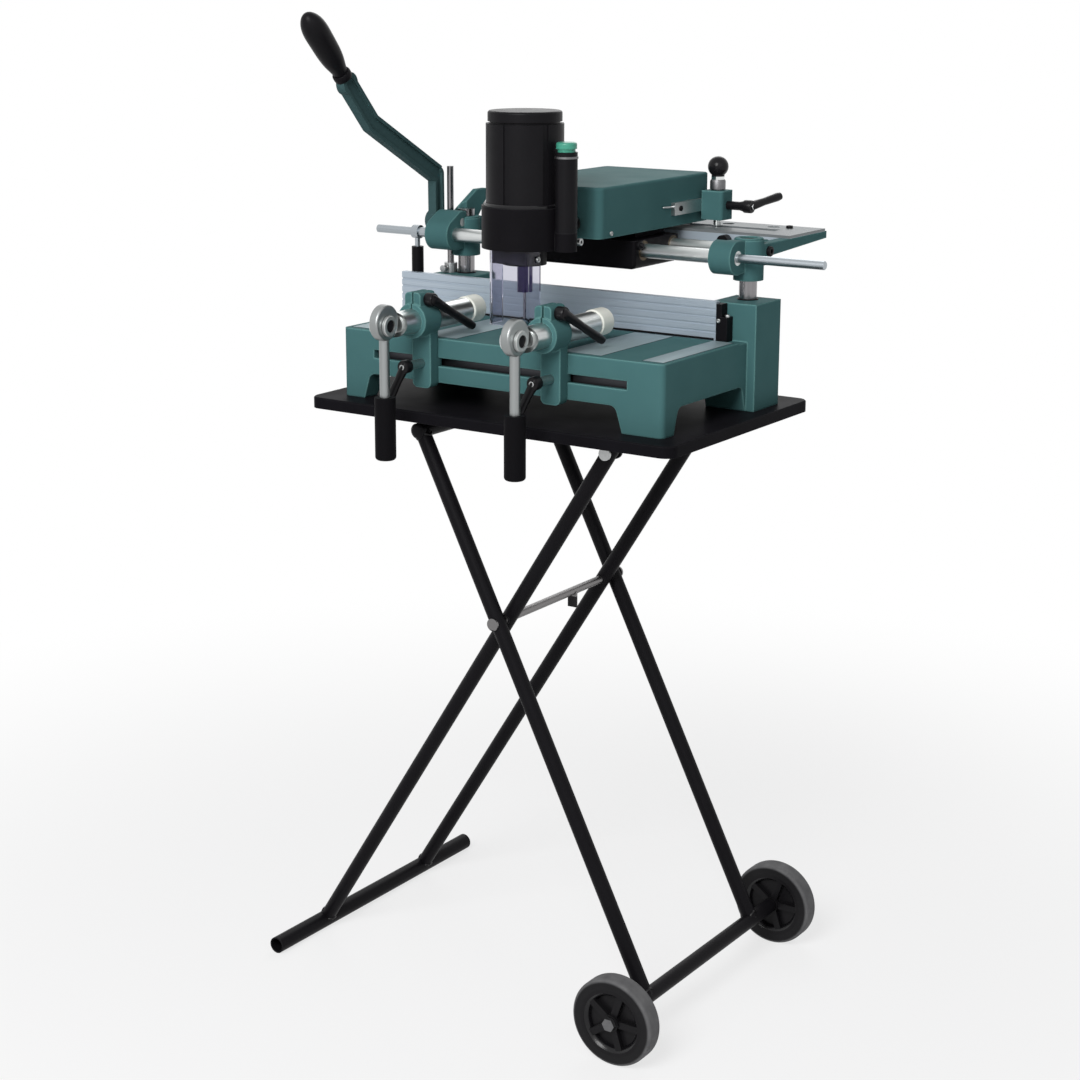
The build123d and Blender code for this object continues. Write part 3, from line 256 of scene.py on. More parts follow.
def blank_material(name):
    material = bpy.data.materials.new(name)
    material.use_nodes = True
    tree = material.node_tree
    tree.nodes.clear()
    output = tree.nodes.new("ShaderNodeOutputMaterial")
    shader = tree.nodes.new("ShaderNodeBsdfPrincipled")
    tree.links.new(shader.outputs["BSDF"], output.inputs["Surface"])
    return material, tree, shader


def grain_bump(tree, scale, strength, distance):
    grain = use_group(tree, FINE_GRAIN, Scale=scale)
    bump = tree.nodes.new("ShaderNodeBump")
    bump.inputs["Strength"].default_value = strength
    bump.inputs["Distance"].default_value = distance
    tree.links.new(grain.outputs["Height"], bump.inputs["Height"])
    return bump


def coated(name, light, dark, worn_and_highlight, rough, grain_scale, edge_radius, gloss, wear_and_highlight_gain=2.2):
    """Paint or powder coat with soft edges, slight unevenness and a fine grain, its edges lightened where
    paint has thinned and, on the teal castings, by a painted highlight.
    """
    material, tree, shader = blank_material(name)
    shader.inputs["Specular IOR Level"].default_value = gloss
    mottle = use_group(tree, PAINT_MOTTLE, Light=light, Dark=dark, Rough_Low=rough - 0.06,
                       Rough_High=rough + 0.08)
    edge = use_group(tree, EDGE_WEAR_AND_HIGHLIGHT, Radius=edge_radius, Gain=wear_and_highlight_gain)
    mix = tree.nodes.new("ShaderNodeMix")
    mix.data_type = "RGBA"
    mix.inputs["B"].default_value = (*worn_and_highlight, 1.0)
    bump = grain_bump(tree, grain_scale, 0.12, 0.2 * MM)
    tree.links.new(mottle.outputs["Colour"], mix.inputs["A"])
    tree.links.new(edge.outputs["Worn And Highlight"], mix.inputs["Factor"])
    tree.links.new(mix.outputs["Result"], shader.inputs["Base Color"])
    tree.links.new(mottle.outputs["Roughness"], shader.inputs["Roughness"])
    tree.links.new(edge.outputs["Normal"], bump.inputs["Normal"])
    tree.links.new(bump.outputs["Normal"], shader.inputs["Normal"])
    return material


def moulded(name, light, dark, rough, grain_scale, gloss):
    """Moulded plastic, nylon or rubber."""
    material, tree, shader = blank_material(name)
    shader.inputs["Specular IOR Level"].default_value = gloss
    mottle = use_group(tree, PAINT_MOTTLE, Light=light, Dark=dark, Scale=40.0, Rough_Low=rough - 0.05,
                       Rough_High=rough + 0.07)
    bump = grain_bump(tree, grain_scale, 0.15, 0.2 * MM)
    tree.links.new(mottle.outputs["Colour"], shader.inputs["Base Color"])
    tree.links.new(mottle.outputs["Roughness"], shader.inputs["Roughness"])
    tree.links.new(bump.outputs["Normal"], shader.inputs["Normal"])
    return material


def bare_metal(name, colour, shade, low, high, scales, metallic=1.0):
    """Drawn, ground or turned metal, with its lines along one axis."""
    material, tree, shader = blank_material(name)
    lines = use_group(tree, DRAWN_LINES, Scales=scales, Low=low, High=high)
    shader.inputs["Metallic"].default_value = metallic
    tree.links.new(tone_mix(tree, lines.outputs["Lines"], colour, shade), shader.inputs["Base Color"])
    tree.links.new(lines.outputs["Roughness"], shader.inputs["Roughness"])
    return material


def anodised_fence():
    """Satin anodised extrusion with fine ridges along its length."""
    material, tree, shader = blank_material("anodised_fence")
    lines = use_group(tree, DRAWN_LINES, Scales=(2.0, 300.0, 700.0), Low=0.38, High=0.52)
    tone = tone_mix(tree, lines.outputs["Lines"], ALUMINIUM, ALUMINIUM_SHADE)
    bump = tree.nodes.new("ShaderNodeBump")
    bump.inputs["Strength"].default_value = 0.25
    bump.inputs["Distance"].default_value = 0.3 * MM
    shader.inputs["Metallic"].default_value = 0.55
    tree.links.new(tone, shader.inputs["Base Color"])
    tree.links.new(lines.outputs["Roughness"], shader.inputs["Roughness"])
    tree.links.new(lines.outputs["Lines"], bump.inputs["Height"])
    tree.links.new(bump.outputs["Normal"], shader.inputs["Normal"])
    return material


def split_finish(name, mask_of, first, second, metallic, roughness, gloss):
    """One piece in two finishes: first where the mask is 0, second where it is 1."""
    material, tree, shader = blank_material(name)
    shader.inputs["Specular IOR Level"].default_value = gloss
    mask = mask_of(tree)
    tree.links.new(tone_mix(tree, mask, first, second), shader.inputs["Base Color"])
    for label, (low, high) in (("Metallic", metallic), ("Roughness", roughness)):
        spread = tree.nodes.new("ShaderNodeMapRange")
        spread.inputs["To Min"].default_value = low
        spread.inputs["To Max"].default_value = high
        tree.links.new(mask, spread.inputs["Value"])
        tree.links.new(spread.outputs["Result"], shader.inputs[label])
    bump = grain_bump(tree, 700.0, 0.1, 0.2 * MM)
    tree.links.new(bump.outputs["Normal"], shader.inputs["Normal"])
    return material


def beyond(axis, limit):
    """A mask that is 1 past a plane square to one axis."""
    def mask_of(tree):
        split = tree.nodes.new("ShaderNodeSeparateXYZ")
        compare = tree.nodes.new("ShaderNodeMath")
        compare.operation = "GREATER_THAN"
        compare.inputs[1].default_value = limit
        tree.links.new(object_place(tree), split.inputs["Vector"])
        tree.links.new(split.outputs[axis], compare.inputs[0])
        return compare.outputs["Value"]
    return mask_of


def zone(tree, value, start, full):
    """0 up to one value, 1 past another, and smooth between them."""
    ramp = tree.nodes.new("ShaderNodeMapRange")
    ramp.interpolation_type = "SMOOTHSTEP"
    ramp.inputs["From Min"].default_value = start
    ramp.inputs["From Max"].default_value = full
    tree.links.new(value, ramp.inputs["Value"])
    return ramp.outputs["Result"]


def axle_distance(tree, centre):
    """How far a point of a wheel lies from its axle."""
    flat = tree.nodes.new("ShaderNodeVectorMath")
    flat.operation = "MULTIPLY"
    flat.inputs[1].default_value = (1.0, 0.0, 1.0)
    away = tree.nodes.new("ShaderNodeVectorMath")
    away.operation = "DISTANCE"
    away.inputs[1].default_value = (centre.x, 0.0, centre.z)
    tree.links.new(object_place(tree), flat.inputs[0])
    tree.links.new(flat.outputs["Vector"], away.inputs[0])
    return away.outputs["Value"]


def wheel_rubber(centre):
    """Black hub, dark sidewalls, and a tread turned lighter grey by floor dust and by a painted highlight."""
    material, tree, shader = blank_material("tyre_and_hub")
    shader.inputs["Specular IOR Level"].default_value = 0.12
    away = axle_distance(tree, centre)
    hub = use_group(tree, PAINT_MOTTLE, Light=HUB_BLACK, Dark=BLACK_DEEP, Scale=40.0, Rough_Low=0.28,
                    Rough_High=0.40)
    wall = use_group(tree, PAINT_MOTTLE, Light=RUBBER_BLACK, Dark=RUBBER_SHADE, Scale=50.0, Rough_Low=0.40,
                     Rough_High=0.55)
    tread = use_group(tree, PAINT_MOTTLE, Light=TREAD_DUST_AND_HIGHLIGHT, Dark=TREAD_SHADE, Scale=60.0, Rough_Low=0.58,
                      Rough_High=0.75)
    on_tyre = zone(tree, away, HUB_RADIUS, TYRE_START)
    on_tread = zone(tree, away, TREAD_START, TREAD_FULL)
    for kind, label, socket in (("RGBA", "Colour", "Base Color"), ("FLOAT", "Roughness", "Roughness")):
        tyre = mixed(tree, kind, on_tread, wall.outputs[label], tread.outputs[label])
        whole = mixed(tree, kind, on_tyre, hub.outputs[label], tyre)
        tree.links.new(whole, shader.inputs[socket])
    bump = grain_bump(tree, 700.0, 0.1, 0.2 * MM)
    tree.links.new(bump.outputs["Normal"], shader.inputs["Normal"])
    return material


def clear_guard():
    """Tinted clear plastic."""
    material, tree, shader = blank_material("clear_guard")
    shader.inputs["Base Color"].default_value = (*GUARD_TINT, 1.0)
    shader.inputs["Roughness"].default_value = 0.06
    shader.inputs["IOR"].default_value = 1.2
    shader.inputs["Transmission Weight"].default_value = 1.0
    return material


def node_centre(name):
    low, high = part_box(name)
    return (Vector(low) + Vector(high)) / 2


# Where the two finishes of a piece meet
HUB_RADIUS = 48 * MM
TYRE_START = 48.4 * MM
# The tread's lighter grey, floor dust and painted highlight, starts on the shoulder
TREAD_START = 56.8 * MM
TREAD_FULL = 60.8 * MM
GRIP_TOP = 890 * MM
BALL_FOOT = 1162 * MM
TIP_FRONT = -74 * MM
PLATE_FOOT = 1086.2 * MM
HOOK_TOP = 556 * MM
wheel_centre = node_centre("axle")

# Finishes. A coat is given its colours, roughness, grain, lighter edge for thinned paint and painted
# highlight, and gloss.
# A bare metal is given its colours, the range of its roughness and the way its lines run.
ALL_WAYS = (300.0, 300.0, 300.0)
ALONG_X = (2.0, 500.0, 500.0)
ALONG_Y = (500.0, 2.0, 500.0)
ALONG_Z = (500.0, 500.0, 2.0)
COARSE_X = (4.0, 500.0, 500.0)
COARSE_Y = (500.0, 4.0, 500.0)
SPINDLE_LINES = (300.0, 300.0, 40.0)
CUTTER_LINES = (300.0, 300.0, 60.0)
# The teal castings' lighter edges are a painted highlight as well as thinned paint, spread wide by a 4.2 mm
# radius and a gain of 3.2.
teal = coated("teal_casting", TEAL_PAINT, TEAL_PAINT_DARK, TEAL_WORN_AND_HIGHLIGHT, 0.52, 600.0, 4.2 * MM, 0.02, 3.2)
lever_teal = coated("teal_lever", LEVER_TEAL, LEVER_TEAL_DARK, LEVER_WORN, 0.52, 600.0, 1.4 * MM, 0.02)
black_coat = coated("black_powder_coat", BLACK_COAT, BLACK_DEEP, BLACK_COAT_WORN, 0.40, 500.0, 0.8 * MM, 0.06)
black_board = coated("black_board", BLACK_BOARD, BLACK_DEEP, BLACK_COAT_WORN, 0.40, 300.0, 1.2 * MM, 0.012)
black_cast = coated("black_casting", BLACK_COAT, BLACK_DEEP, BLACK_COAT_WORN, 0.42, 500.0, 1.5 * MM, 0.03)
weld_coat = coated("coated_weld", BLACK_COAT, BLACK_DEEP, BLACK_COAT_WORN, 0.34, 900.0, 0.4 * MM, 0.22)
black_moulding = moulded("black_moulding", BLACK_MOULDING, BLACK_DEEP, 0.38, 450.0, 0.08)
lever_plastic = moulded("lever_plastic", BLACK_MOULDING, BLACK_DEEP, 0.32, 450.0, 0.15)
gloss_black = moulded("gloss_black", BLACK_MOULDING, BLACK_DEEP, 0.22, 200.0, 0.3)
green_button = moulded("green_button", BUTTON_GREEN, BUTTON_SHADE, 0.32, 200.0, 0.4)
fence_metal = anodised_fence()
chrome_x = bare_metal("ground_chrome_along_x", CHROME, CHROME_SHADE, 0.28, 0.40, ALONG_X)
bar_steel = bare_metal("drawn_bar_steel", BAR_STEEL, BAR_SHADE, 0.26, 0.40, ALONG_X)
chrome_y = bare_metal("ground_chrome_along_y", CHROME, CHROME_SHADE, 0.26, 0.38, ALONG_Y)
chrome_z = bare_metal("ground_chrome_along_z", COLUMN_STEEL, COLUMN_SHADE, 0.16, 0.28, ALONG_Z)
satin = bare_metal("satin_silver", SATIN_SILVER, SATIN_SHADE, 0.42, 0.55, ALL_WAYS)
zinc = bare_metal("bright_zinc", ZINC, ZINC_SHADE, 0.28, 0.42, ALL_WAYS)
strip_metal = bare_metal("worn_table_strip", STRIP_LIGHT, STRIP_SHADE, 0.42, 0.58, COARSE_Y, 0.4)
slot_shaded_metal = bare_metal("slot_steel_in_painted_shade", SLOT_STEEL_IN_PAINTED_SHADE, SLOT_SHADE, 0.40, 0.55, COARSE_X)
bronze = bare_metal("oiled_bronze", BRONZE, BRONZE_SHADE, 0.35, 0.50, ALL_WAYS)
spindle_metal = bare_metal("blued_spindle", SPINDLE_BLUE, SPINDLE_SHADE, 0.25, 0.40, SPINDLE_LINES)
cutter_metal = bare_metal("ground_cutter", CUTTER_STEEL, CUTTER_SHADE, 0.22, 0.34, CUTTER_LINES)
guard = clear_guard()
mount_violet = moulded("violet_black_mount", MOUNT_VIOLET, BLACK_DEEP, 0.45, 450.0, 0.1)
wheel_finish = wheel_rubber(wheel_centre)
dull_steel = bare_metal("dull_steel", DULL_STEEL, DULL_SHADE, 0.40, 0.55, ALL_WAYS)
handle_finish = split_finish("rod_and_rubber_grip", beyond("Z", GRIP_TOP), BLACK_DEEP, HANDLE_SILVER,
                             (0.0, 1.0), (0.55, 0.40), 0.03)
tracer_finish = split_finish("pin_and_ball", beyond("Z", BALL_FOOT), CHROME, BLACK_MOULDING,
                             (1.0, 0.0), (0.2, 0.24), 0.15)
tip_finish = split_finish("plunger_and_nylon", beyond("Y", TIP_FRONT), SATIN_SILVER, NYLON,
                          (1.0, 0.0), (0.3, 0.45), 0.4)
plate_finish = split_finish("beam_and_plate", beyond("Z", PLATE_FOOT), ALUMINIUM, PLATE_GREY,
                            (0.5, 0.5), (0.42, 0.50), 0.1)
pivot_finish = split_finish("rod_and_hook", beyond("Z", HOOK_TOP), BLACK_MOULDING, PIVOT_STEEL,
                            (0.0, 1.0), (0.5, 0.38), 0.2)

# Finishes of the CAD nodes
FINISH_OF_NODES = (
    (teal, ("base_casting", "left_casting", "right_casting", "slide_box", "tracer_block",
            "left_clamp_bracket", "right_clamp_bracket")),
    (lever_teal, ("lever_arm",)),
    (black_coat, ("inner_leg_front", "inner_leg_rear", "outer_leg_front", "outer_leg_rear", "foot_bar",
                  "outer_top_tube", "axle_tube", "stand_brackets", "strut_body", "fence_end_blocks")),
    (black_board, ("board",)),
    (black_cast, ("motor_bracket", "carriage_block")),
    (black_moulding, ("lever_grip", "motor_housing", "side_handle", "template_knob", "tracer_lever",
                      "left_ratchet_lever", "right_ratchet_lever", "left_lock_lever", "right_lock_lever")),
    (tip_finish, ("left_clamp_tip", "right_clamp_tip")),
    (green_button, ("switch_button",)),
    (fence_metal, ("fence",)),
    (chrome_x, ("guide_rods",)),
    (bar_steel, ("left_stop_bar", "right_stop_bar", "strut_rod")),
    (chrome_y, ("y_rods", "left_clamp_barrel", "right_clamp_barrel")),
    (chrome_z, ("guide_columns", "stop_rod")),
    (zinc, ("frame_bolts", "stop_collar", "tracer_bar", "lever_shaft")),
    (dull_steel, ("axle",)),
    (pivot_finish, ("pivot_rod",)),
    (plate_finish, ("template_plate",)),
    (bronze, ("column_bushes", "slide_bushes")),
    (spindle_metal, ("spindle",)),
    (cutter_metal, ("cutter",)),
    (guard, ("chip_guard",)),
    (wheel_finish, ("front_wheel", "rear_wheel")),
    (handle_finish, ("left_clamp_handle", "right_clamp_handle")),
    (tracer_finish, ("tracer_pin",)),
)
for finish, names in FINISH_OF_NODES:
    for name in names:
        piece = nodes_by_name[name]
        for slot in piece.material_slots:
            slot.material = finish

# Making pieces
SHARP_ANGLE = radians(35)
JOIN_DISTANCE = 1e-6
HEAD_EASE = 0.14
HEAD_WALL = 0.36
SOCKET_DEPTH = 0.6


def mm(x, y, z):
    return Vector((x, y, z)) * MM


def place_piece(name, shape, finish, body):
    """Turns a bmesh into a piece at the origin that rides on a body."""
    bmesh.ops.remove_doubles(shape, verts=shape.verts, dist=JOIN_DISTANCE)
    bmesh.ops.recalc_face_normals(shape, faces=shape.faces)
    mesh = bpy.data.meshes.new(name)
    shape.to_mesh(mesh)
    shape.free()
    for face in mesh.polygons:
        face.use_smooth = True
    mesh.set_sharp_from_angle(angle=SHARP_ANGLE)
    mesh.materials.append(finish)
    piece = bpy.data.objects.new(name, mesh)
    bpy.context.scene.collection.objects.link(piece)
    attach(piece, body)


def axis_place(start, direction):
    """The place and turn that carry a shape made along +Z to an axis in the part."""
    turn = Vector(UP).rotation_difference(Vector(direction)).to_matrix().to_4x4()
    return Matrix.Translation(start) @ turn


def turned_shape(profile, start, direction, steps=48):
    """A lathe profile of (radius, height) points in millimetres, spun about an axis."""
    shape = bmesh.new()
    points = [shape.verts.new((radius * MM, 0, height * MM)) for radius, height in profile]
    edges = [shape.edges.new(pair) for pair in zip(points, points[1:])]
    bmesh.ops.spin(shape, geom=points + edges, cent=(0, 0, 0), axis=UP, angle=2 * pi, steps=steps,
                   use_merge=True)
    bmesh.ops.transform(shape, matrix=axis_place(start, direction), verts=shape.verts)
    return shape


def ease_edges(shape, edges, size, segments):
    """Rounds edges by a size in millimetres."""
    bmesh.ops.bevel(shape, geom=edges, offset=size * MM, offset_type="OFFSET", affect="EDGES",
                    segments=segments, profile=0.5, material=-1)


def slab_shape(low, high, edge):
    """A block between two corners with its edges rounded."""
    shape = bmesh.new()
    bmesh.ops.create_cube(shape, size=1)
    low, high = Vector(low), Vector(high)
    bmesh.ops.scale(shape, vec=high - low, verts=shape.verts)
    bmesh.ops.translate(shape, vec=(low + high) / 2, verts=shape.verts)
    ease_edges(shape, shape.edges[:], edge, 3)
    return shape


def hexagon_shape(radius, height, start, direction, edge):
    """A hexagon head or nut with its edges eased."""
    shape = bmesh.new()
    bmesh.ops.create_cone(shape, cap_ends=True, segments=6, radius1=radius * MM, radius2=radius * MM,
                          depth=height * MM)
    bmesh.ops.translate(shape, vec=mm(0, 0, height / 2), verts=shape.verts)
    ease_edges(shape, shape.edges[:], edge, 2)
    bmesh.ops.transform(shape, matrix=axis_place(start, direction), verts=shape.verts)
    return shape


def socket_screw(name, start, direction, radius, height, finish, body):
    """A cap screw with a round socket sunk in the head."""
    shape = bmesh.new()
    bmesh.ops.create_circle(shape, cap_ends=True, segments=24, radius=radius * MM)
    grown = bmesh.ops.extrude_face_region(shape, geom=shape.faces[:])["geom"]
    top = [item for item in grown if isinstance(item, bmesh.types.BMFace)]
    bmesh.ops.translate(shape, vec=mm(0, 0, height), verts=top[0].verts)
    ease_edges(shape, top[0].edges[:], radius * HEAD_EASE, 3)
    crown = max(shape.faces, key=lambda face: face.calc_center_median().z)
    bmesh.ops.inset_individual(shape, faces=[crown], thickness=radius * HEAD_WALL * MM)
    sunk = bmesh.ops.extrude_face_region(shape, geom=[crown])["geom"]
    floor = [item for item in sunk if isinstance(item, bmesh.types.BMFace)]
    bmesh.ops.translate(shape, vec=mm(0, 0, -height * SOCKET_DEPTH), verts=floor[0].verts)
    bmesh.ops.delete(shape, geom=[crown], context="FACES_ONLY")
    bmesh.ops.transform(shape, matrix=axis_place(start, direction), verts=shape.verts)
    place_piece(name, shape, finish, body)


def ring_profile(inner, outer, height, ease):
    """Lathe profile of a ring with its outer top edge eased."""
    return ((inner, 0), (outer, 0), (outer, height - ease), (outer - ease, height), (inner, height),
            (inner, 0))


# Table and base
TABLE_TOP = 958
TABLE_FRONT = -157
TABLE_BACK = 44
STRIPS = ((-257, -226), (-135, -75), (100, 162), (226, 257))
STRIP_PROUD = 0.4
STRIP_SINK = 1.0
STRIP_INSET = 3
STRIP_FRONT_INSET = 13
STRIP_JOINT = 1.3
JOINT_PROUD = 0.15
POST_TOP = 1008.5
COLUMN_X = 241
COLUMN_Y = 110
SLOT_END = 209
SLOT_CENTRE = 925
SLOT_FLOOR = -141
LINER_LOW = 9
LINER_HIGH = 3
LINER_HALF = 0.2
FENCE_FRONT = 50
END_BLOCK_X = 229.5
END_STEP_X = 237.8
END_STEP_Y = FENCE_FRONT + 9
END_STEP_TOP = 990
BLOCK_SCREW_Z = 985
# A black strip stands for the shadow in the gap at the foot of the fence
FENCE_SHADOW_END = 222
SHADOW_OUT = 1.2
SHADOW_IN = 0.5
SHADOW_SINK = 0.5
SHADOW_RISE = 2.4
FENCE_SCREW_Z = TABLE_TOP + 22
FENCE_BACK = FENCE_FRONT + 10
FENCE_SCREWS = (("left", -180), ("middle", -20), ("right", 140))


def table_strips():
    """Worn metal strips let into the table, each with a dark joint round it."""
    for number, (left, right) in enumerate(STRIPS, 1):
        low = Vector((left, TABLE_FRONT + STRIP_FRONT_INSET, TABLE_TOP - STRIP_SINK))
        high = Vector((right, TABLE_BACK - STRIP_INSET, TABLE_TOP + STRIP_PROUD))
        place_piece(f"table_strip_{number}", slab_shape(low * MM, high * MM, 0.15), strip_metal, "base")
        around = Vector((STRIP_JOINT, STRIP_JOINT, 0))
        high.z = TABLE_TOP + JOINT_PROUD
        shape = slab_shape((low - around) * MM, (high + around) * MM, 0.05)
        place_piece(f"table_strip_joint_{number}", shape, black_moulding, "base")


def slot_liner():
    """Steel in the floor of the clamp slot, coloured dark as a painted shade of the slot."""
    low = mm(-SLOT_END, SLOT_FLOOR - LINER_HALF, SLOT_CENTRE - LINER_LOW)
    high = mm(SLOT_END, SLOT_FLOOR + LINER_HALF, SLOT_CENTRE + LINER_HIGH)
    shape = slab_shape(low, high, 0.05)
    place_piece("slot_liner", shape, slot_shaded_metal, "base")


def column_wipers():
    """Wiper rings on the posts, round the foot of the columns."""
    for name, x in (("left", -COLUMN_X), ("right", COLUMN_X)):
        shape = turned_shape(ring_profile(12.7, 14.6, 1.8, 0.7), mm(x, COLUMN_Y, POST_TOP), UP)
        place_piece(f"{name}_column_wiper", shape, black_moulding, "base")


def fence_foot_shadow():
    """A black strip along the foot of the fence, a painted shadow of the gap between the fence and the table.
    """
    low = mm(-FENCE_SHADOW_END, FENCE_FRONT - SHADOW_OUT, TABLE_TOP - SHADOW_SINK)
    high = mm(FENCE_SHADOW_END, FENCE_FRONT + SHADOW_IN, TABLE_TOP + SHADOW_RISE)
    place_piece("fence_foot_shadow", slab_shape(low, high, 0.3), black_moulding, "base")


def fence_screws():
    front = mm(END_BLOCK_X, FENCE_FRONT, BLOCK_SCREW_Z)
    socket_screw("fence_block_screw_front", front, FRONT, 3, 2.4, zinc, "base")
    top = mm(END_STEP_X, END_STEP_Y, END_STEP_TOP)
    socket_screw("fence_block_screw_top", top, UP, 3.8, 3.2, zinc, "base")
    for name, x in FENCE_SCREWS:
        back = mm(x, FENCE_BACK, FENCE_SCREW_Z)
        socket_screw(f"fence_back_screw_{name}", back, BACK, 5, 4, zinc, "base")


# Stand: plugs in the top tube, welds round the tube joints, dishes in the wheels
LEG_RADIUS = 11
LEG_Y = {"inner": 125, "outer": 152}
TOP_TUBE = (-130, 824)
FOOT_BAR = (-348, 12.5)
FOOT_BAR_RADIUS = 12.5
HINGE = (165, 824)
AXLE = (251, 62.5)
TOP_TUBE_END = 163
WELD_RADIUS = 1.7


def tube_plugs():
    """Domed plastic plugs in the ends of the top tube."""
    plug = ((0, 2.4), (6, 2.1), (9.6, 1.1), (10.6, 0), (9.3, 0), (9.3, -6), (0, -6))
    for name, side in (("front", -1), ("rear", 1)):
        shape = turned_shape(plug, mm(TOP_TUBE[0], side * TOP_TUBE_END, TOP_TUBE[1]), (0, side, 0))
        place_piece(f"top_tube_plug_{name}", shape, black_moulding, "outer_legs")


def weld_bead(name, joint, far_end, y, tube_radius, body):
    """A fillet weld on the saddle line where a leg of the stand meets a cross tube."""
    along = Vector((far_end[0] - joint[0], 0, far_end[1] - joint[1])).normalized()
    shape = bmesh.new()
    bmesh.ops.create_circle(shape, segments=10, radius=WELD_RADIUS * MM)
    bmesh.ops.rotate(shape, cent=(0, 0, 0), matrix=Matrix.Rotation(pi / 2, 3, "X"), verts=shape.verts)
    bmesh.ops.translate(shape, vec=mm(LEG_RADIUS, 0, 0), verts=shape.verts)
    bmesh.ops.spin(shape, geom=shape.verts[:] + shape.edges[:], cent=(0, 0, 0), axis=UP, angle=2 * pi,
                   steps=72, use_merge=True)
    for vert in shape.verts:
        reach = min(abs(vert.co.x), LEG_RADIUS * MM)
        vert.co.z += max((tube_radius * MM) ** 2 - reach ** 2, 0) ** 0.5
    across = Vector(BACK)
    turn = Matrix((across, along.cross(across), along)).transposed().to_4x4()
    bmesh.ops.transform(shape, matrix=Matrix.Translation(mm(joint[0], y, joint[1])) @ turn, verts=shape.verts)
    place_piece(name, shape, weld_coat, body)


def stand_welds():
    for name, side in (("front", -1), ("rear", 1)):
        weld_bead(f"foot_weld_{name}", FOOT_BAR, HINGE, side * LEG_Y["inner"], FOOT_BAR_RADIUS, "inner_legs")
        weld_bead(f"axle_weld_{name}", AXLE, TOP_TUBE, side * LEG_Y["outer"], LEG_RADIUS, "outer_legs")
        weld_bead(f"top_weld_{name}", TOP_TUBE, AXLE, side * LEG_Y["outer"], LEG_RADIUS, "outer_legs")


def wheel_dishes():
    """The gloss dish that runs from the rim of each hub down to its web, on both faces of a wheel."""
    dish = ((43.4, -0.3), (41.0, -1.9), (38.8, -4.2), (37.2, -7.2), (36.6, -10.6), (43.4, -10.6),
            (43.4, -0.3))
    for name in ("front", "rear"):
        low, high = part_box(f"{name}_wheel")
        for face, y, side in (("front", low[1], -1), ("back", high[1], 1)):
            start = Vector((wheel_centre.x, y, wheel_centre.z))
            shape = turned_shape(dish, start, (0, side, 0), 72)
            place_piece(f"{name}_wheel_dish_{face}", shape, gloss_black, f"{name}_wheel_body")


# Head: covers round the columns, screws in the castings and the template plate
BOSS_TOP = 1092
RIGHT_CASTING_SCREW = (262, 128, 1075)
LEFT_CASTING_SCREW = (-226, 128, 1066)
LEFT_ARM_SCREW = (-254, 200, 1086)
PLATE_TOP = 1090
PLATE_SCREW_Y = 272
PLATE_SCREWS = (("inner", 60), ("outer", 219))


def head_details():
    for name, x in (("left", -COLUMN_X), ("right", COLUMN_X)):
        shape = turned_shape(ring_profile(12.9, 20, 2.4, 1), mm(x, COLUMN_Y, BOSS_TOP), UP)
        place_piece(f"{name}_column_cover", shape, teal, "head")
    socket_screw("right_casting_screw", mm(*RIGHT_CASTING_SCREW), RIGHT, 7, 5, black_moulding, "head")
    socket_screw("left_casting_screw", mm(*LEFT_CASTING_SCREW), RIGHT, 6, 5, black_moulding, "head")
    socket_screw("left_arm_screw", mm(*LEFT_ARM_SCREW), UP, 5, 4.5, black_moulding, "head")
    for name, x in PLATE_SCREWS:
        place = mm(x, PLATE_SCREW_Y, PLATE_TOP)
        socket_screw(f"plate_screw_{name}", place, UP, 5, 4, black_moulding, "head")


# Lever: collar between the grip and the arm
LEVER_X = -279.3
LEVER_KNEE = (-69, 1240)
LEVER_HEAD = (-121, 1298)


def lever_collar():
    along = Vector((0, LEVER_HEAD[0] - LEVER_KNEE[0], LEVER_HEAD[1] - LEVER_KNEE[1])).normalized()
    collar = ((0, 10), (11, 10), (13, 11), (13.6, 13), (13.6, 19), (12.6, 21), (0, 21))
    shape = turned_shape(collar, mm(LEVER_X, *LEVER_HEAD), along)
    place_piece("lever_grip_collar", shape, black_coat, "lever")


# Motor, guard and slide box
MOTOR = (8, -98)
RING_TOP = 1143
HANDLE = (79, -104)
HANDLE_TOP = 1218
HANDLE_BAND = HANDLE_TOP - 9
PINCH_SCREW = (56, -70, 1095)
GUARD_SCREW = (40, -115, 1073)
MOUNT_LOW = (-21, -136.5, 1066)
MOUNT_HIGH = (37, -106, 1086)
BOX_RIGHT = 94
BOX_SCREW = (BOX_RIGHT, -15, 1102)
BAR_SCREW = (BOX_RIGHT + 6, 164, 1121)
BAR_PIN = (BOX_RIGHT + 3, 148, 1124)
BAR_PIN_LINE = (0, -1, 0.06)
CARRIAGE_LOCK = (96, 54, 1079)


def motor_details():
    lip = turned_shape(ring_profile(53.1, 56.2, 4.5, 1.4), mm(*MOTOR, RING_TOP), UP, 96)
    place_piece("clamp_ring_lip", lip, gloss_black, "slide")
    band = ((14.9, 0), (15.9, 0.4), (15.9, 3.2), (14.9, 3.6))
    shape = turned_shape(band, mm(*HANDLE, HANDLE_BAND), UP)
    place_piece("handle_band", shape, dull_steel, "slide")
    socket_screw("ring_pinch_screw", mm(*PINCH_SCREW), RIGHT, 5, 26, zinc, "slide")


def guard_mount():
    """The block that holds the chip guard, and its screw."""
    socket_screw("guard_screw", mm(*GUARD_SCREW), RIGHT, 4.2, 2.6, zinc, "slide")
    mount = slab_shape(mm(*MOUNT_LOW), mm(*MOUNT_HIGH), 2)
    place_piece("guard_mount", mount, mount_violet, "slide")


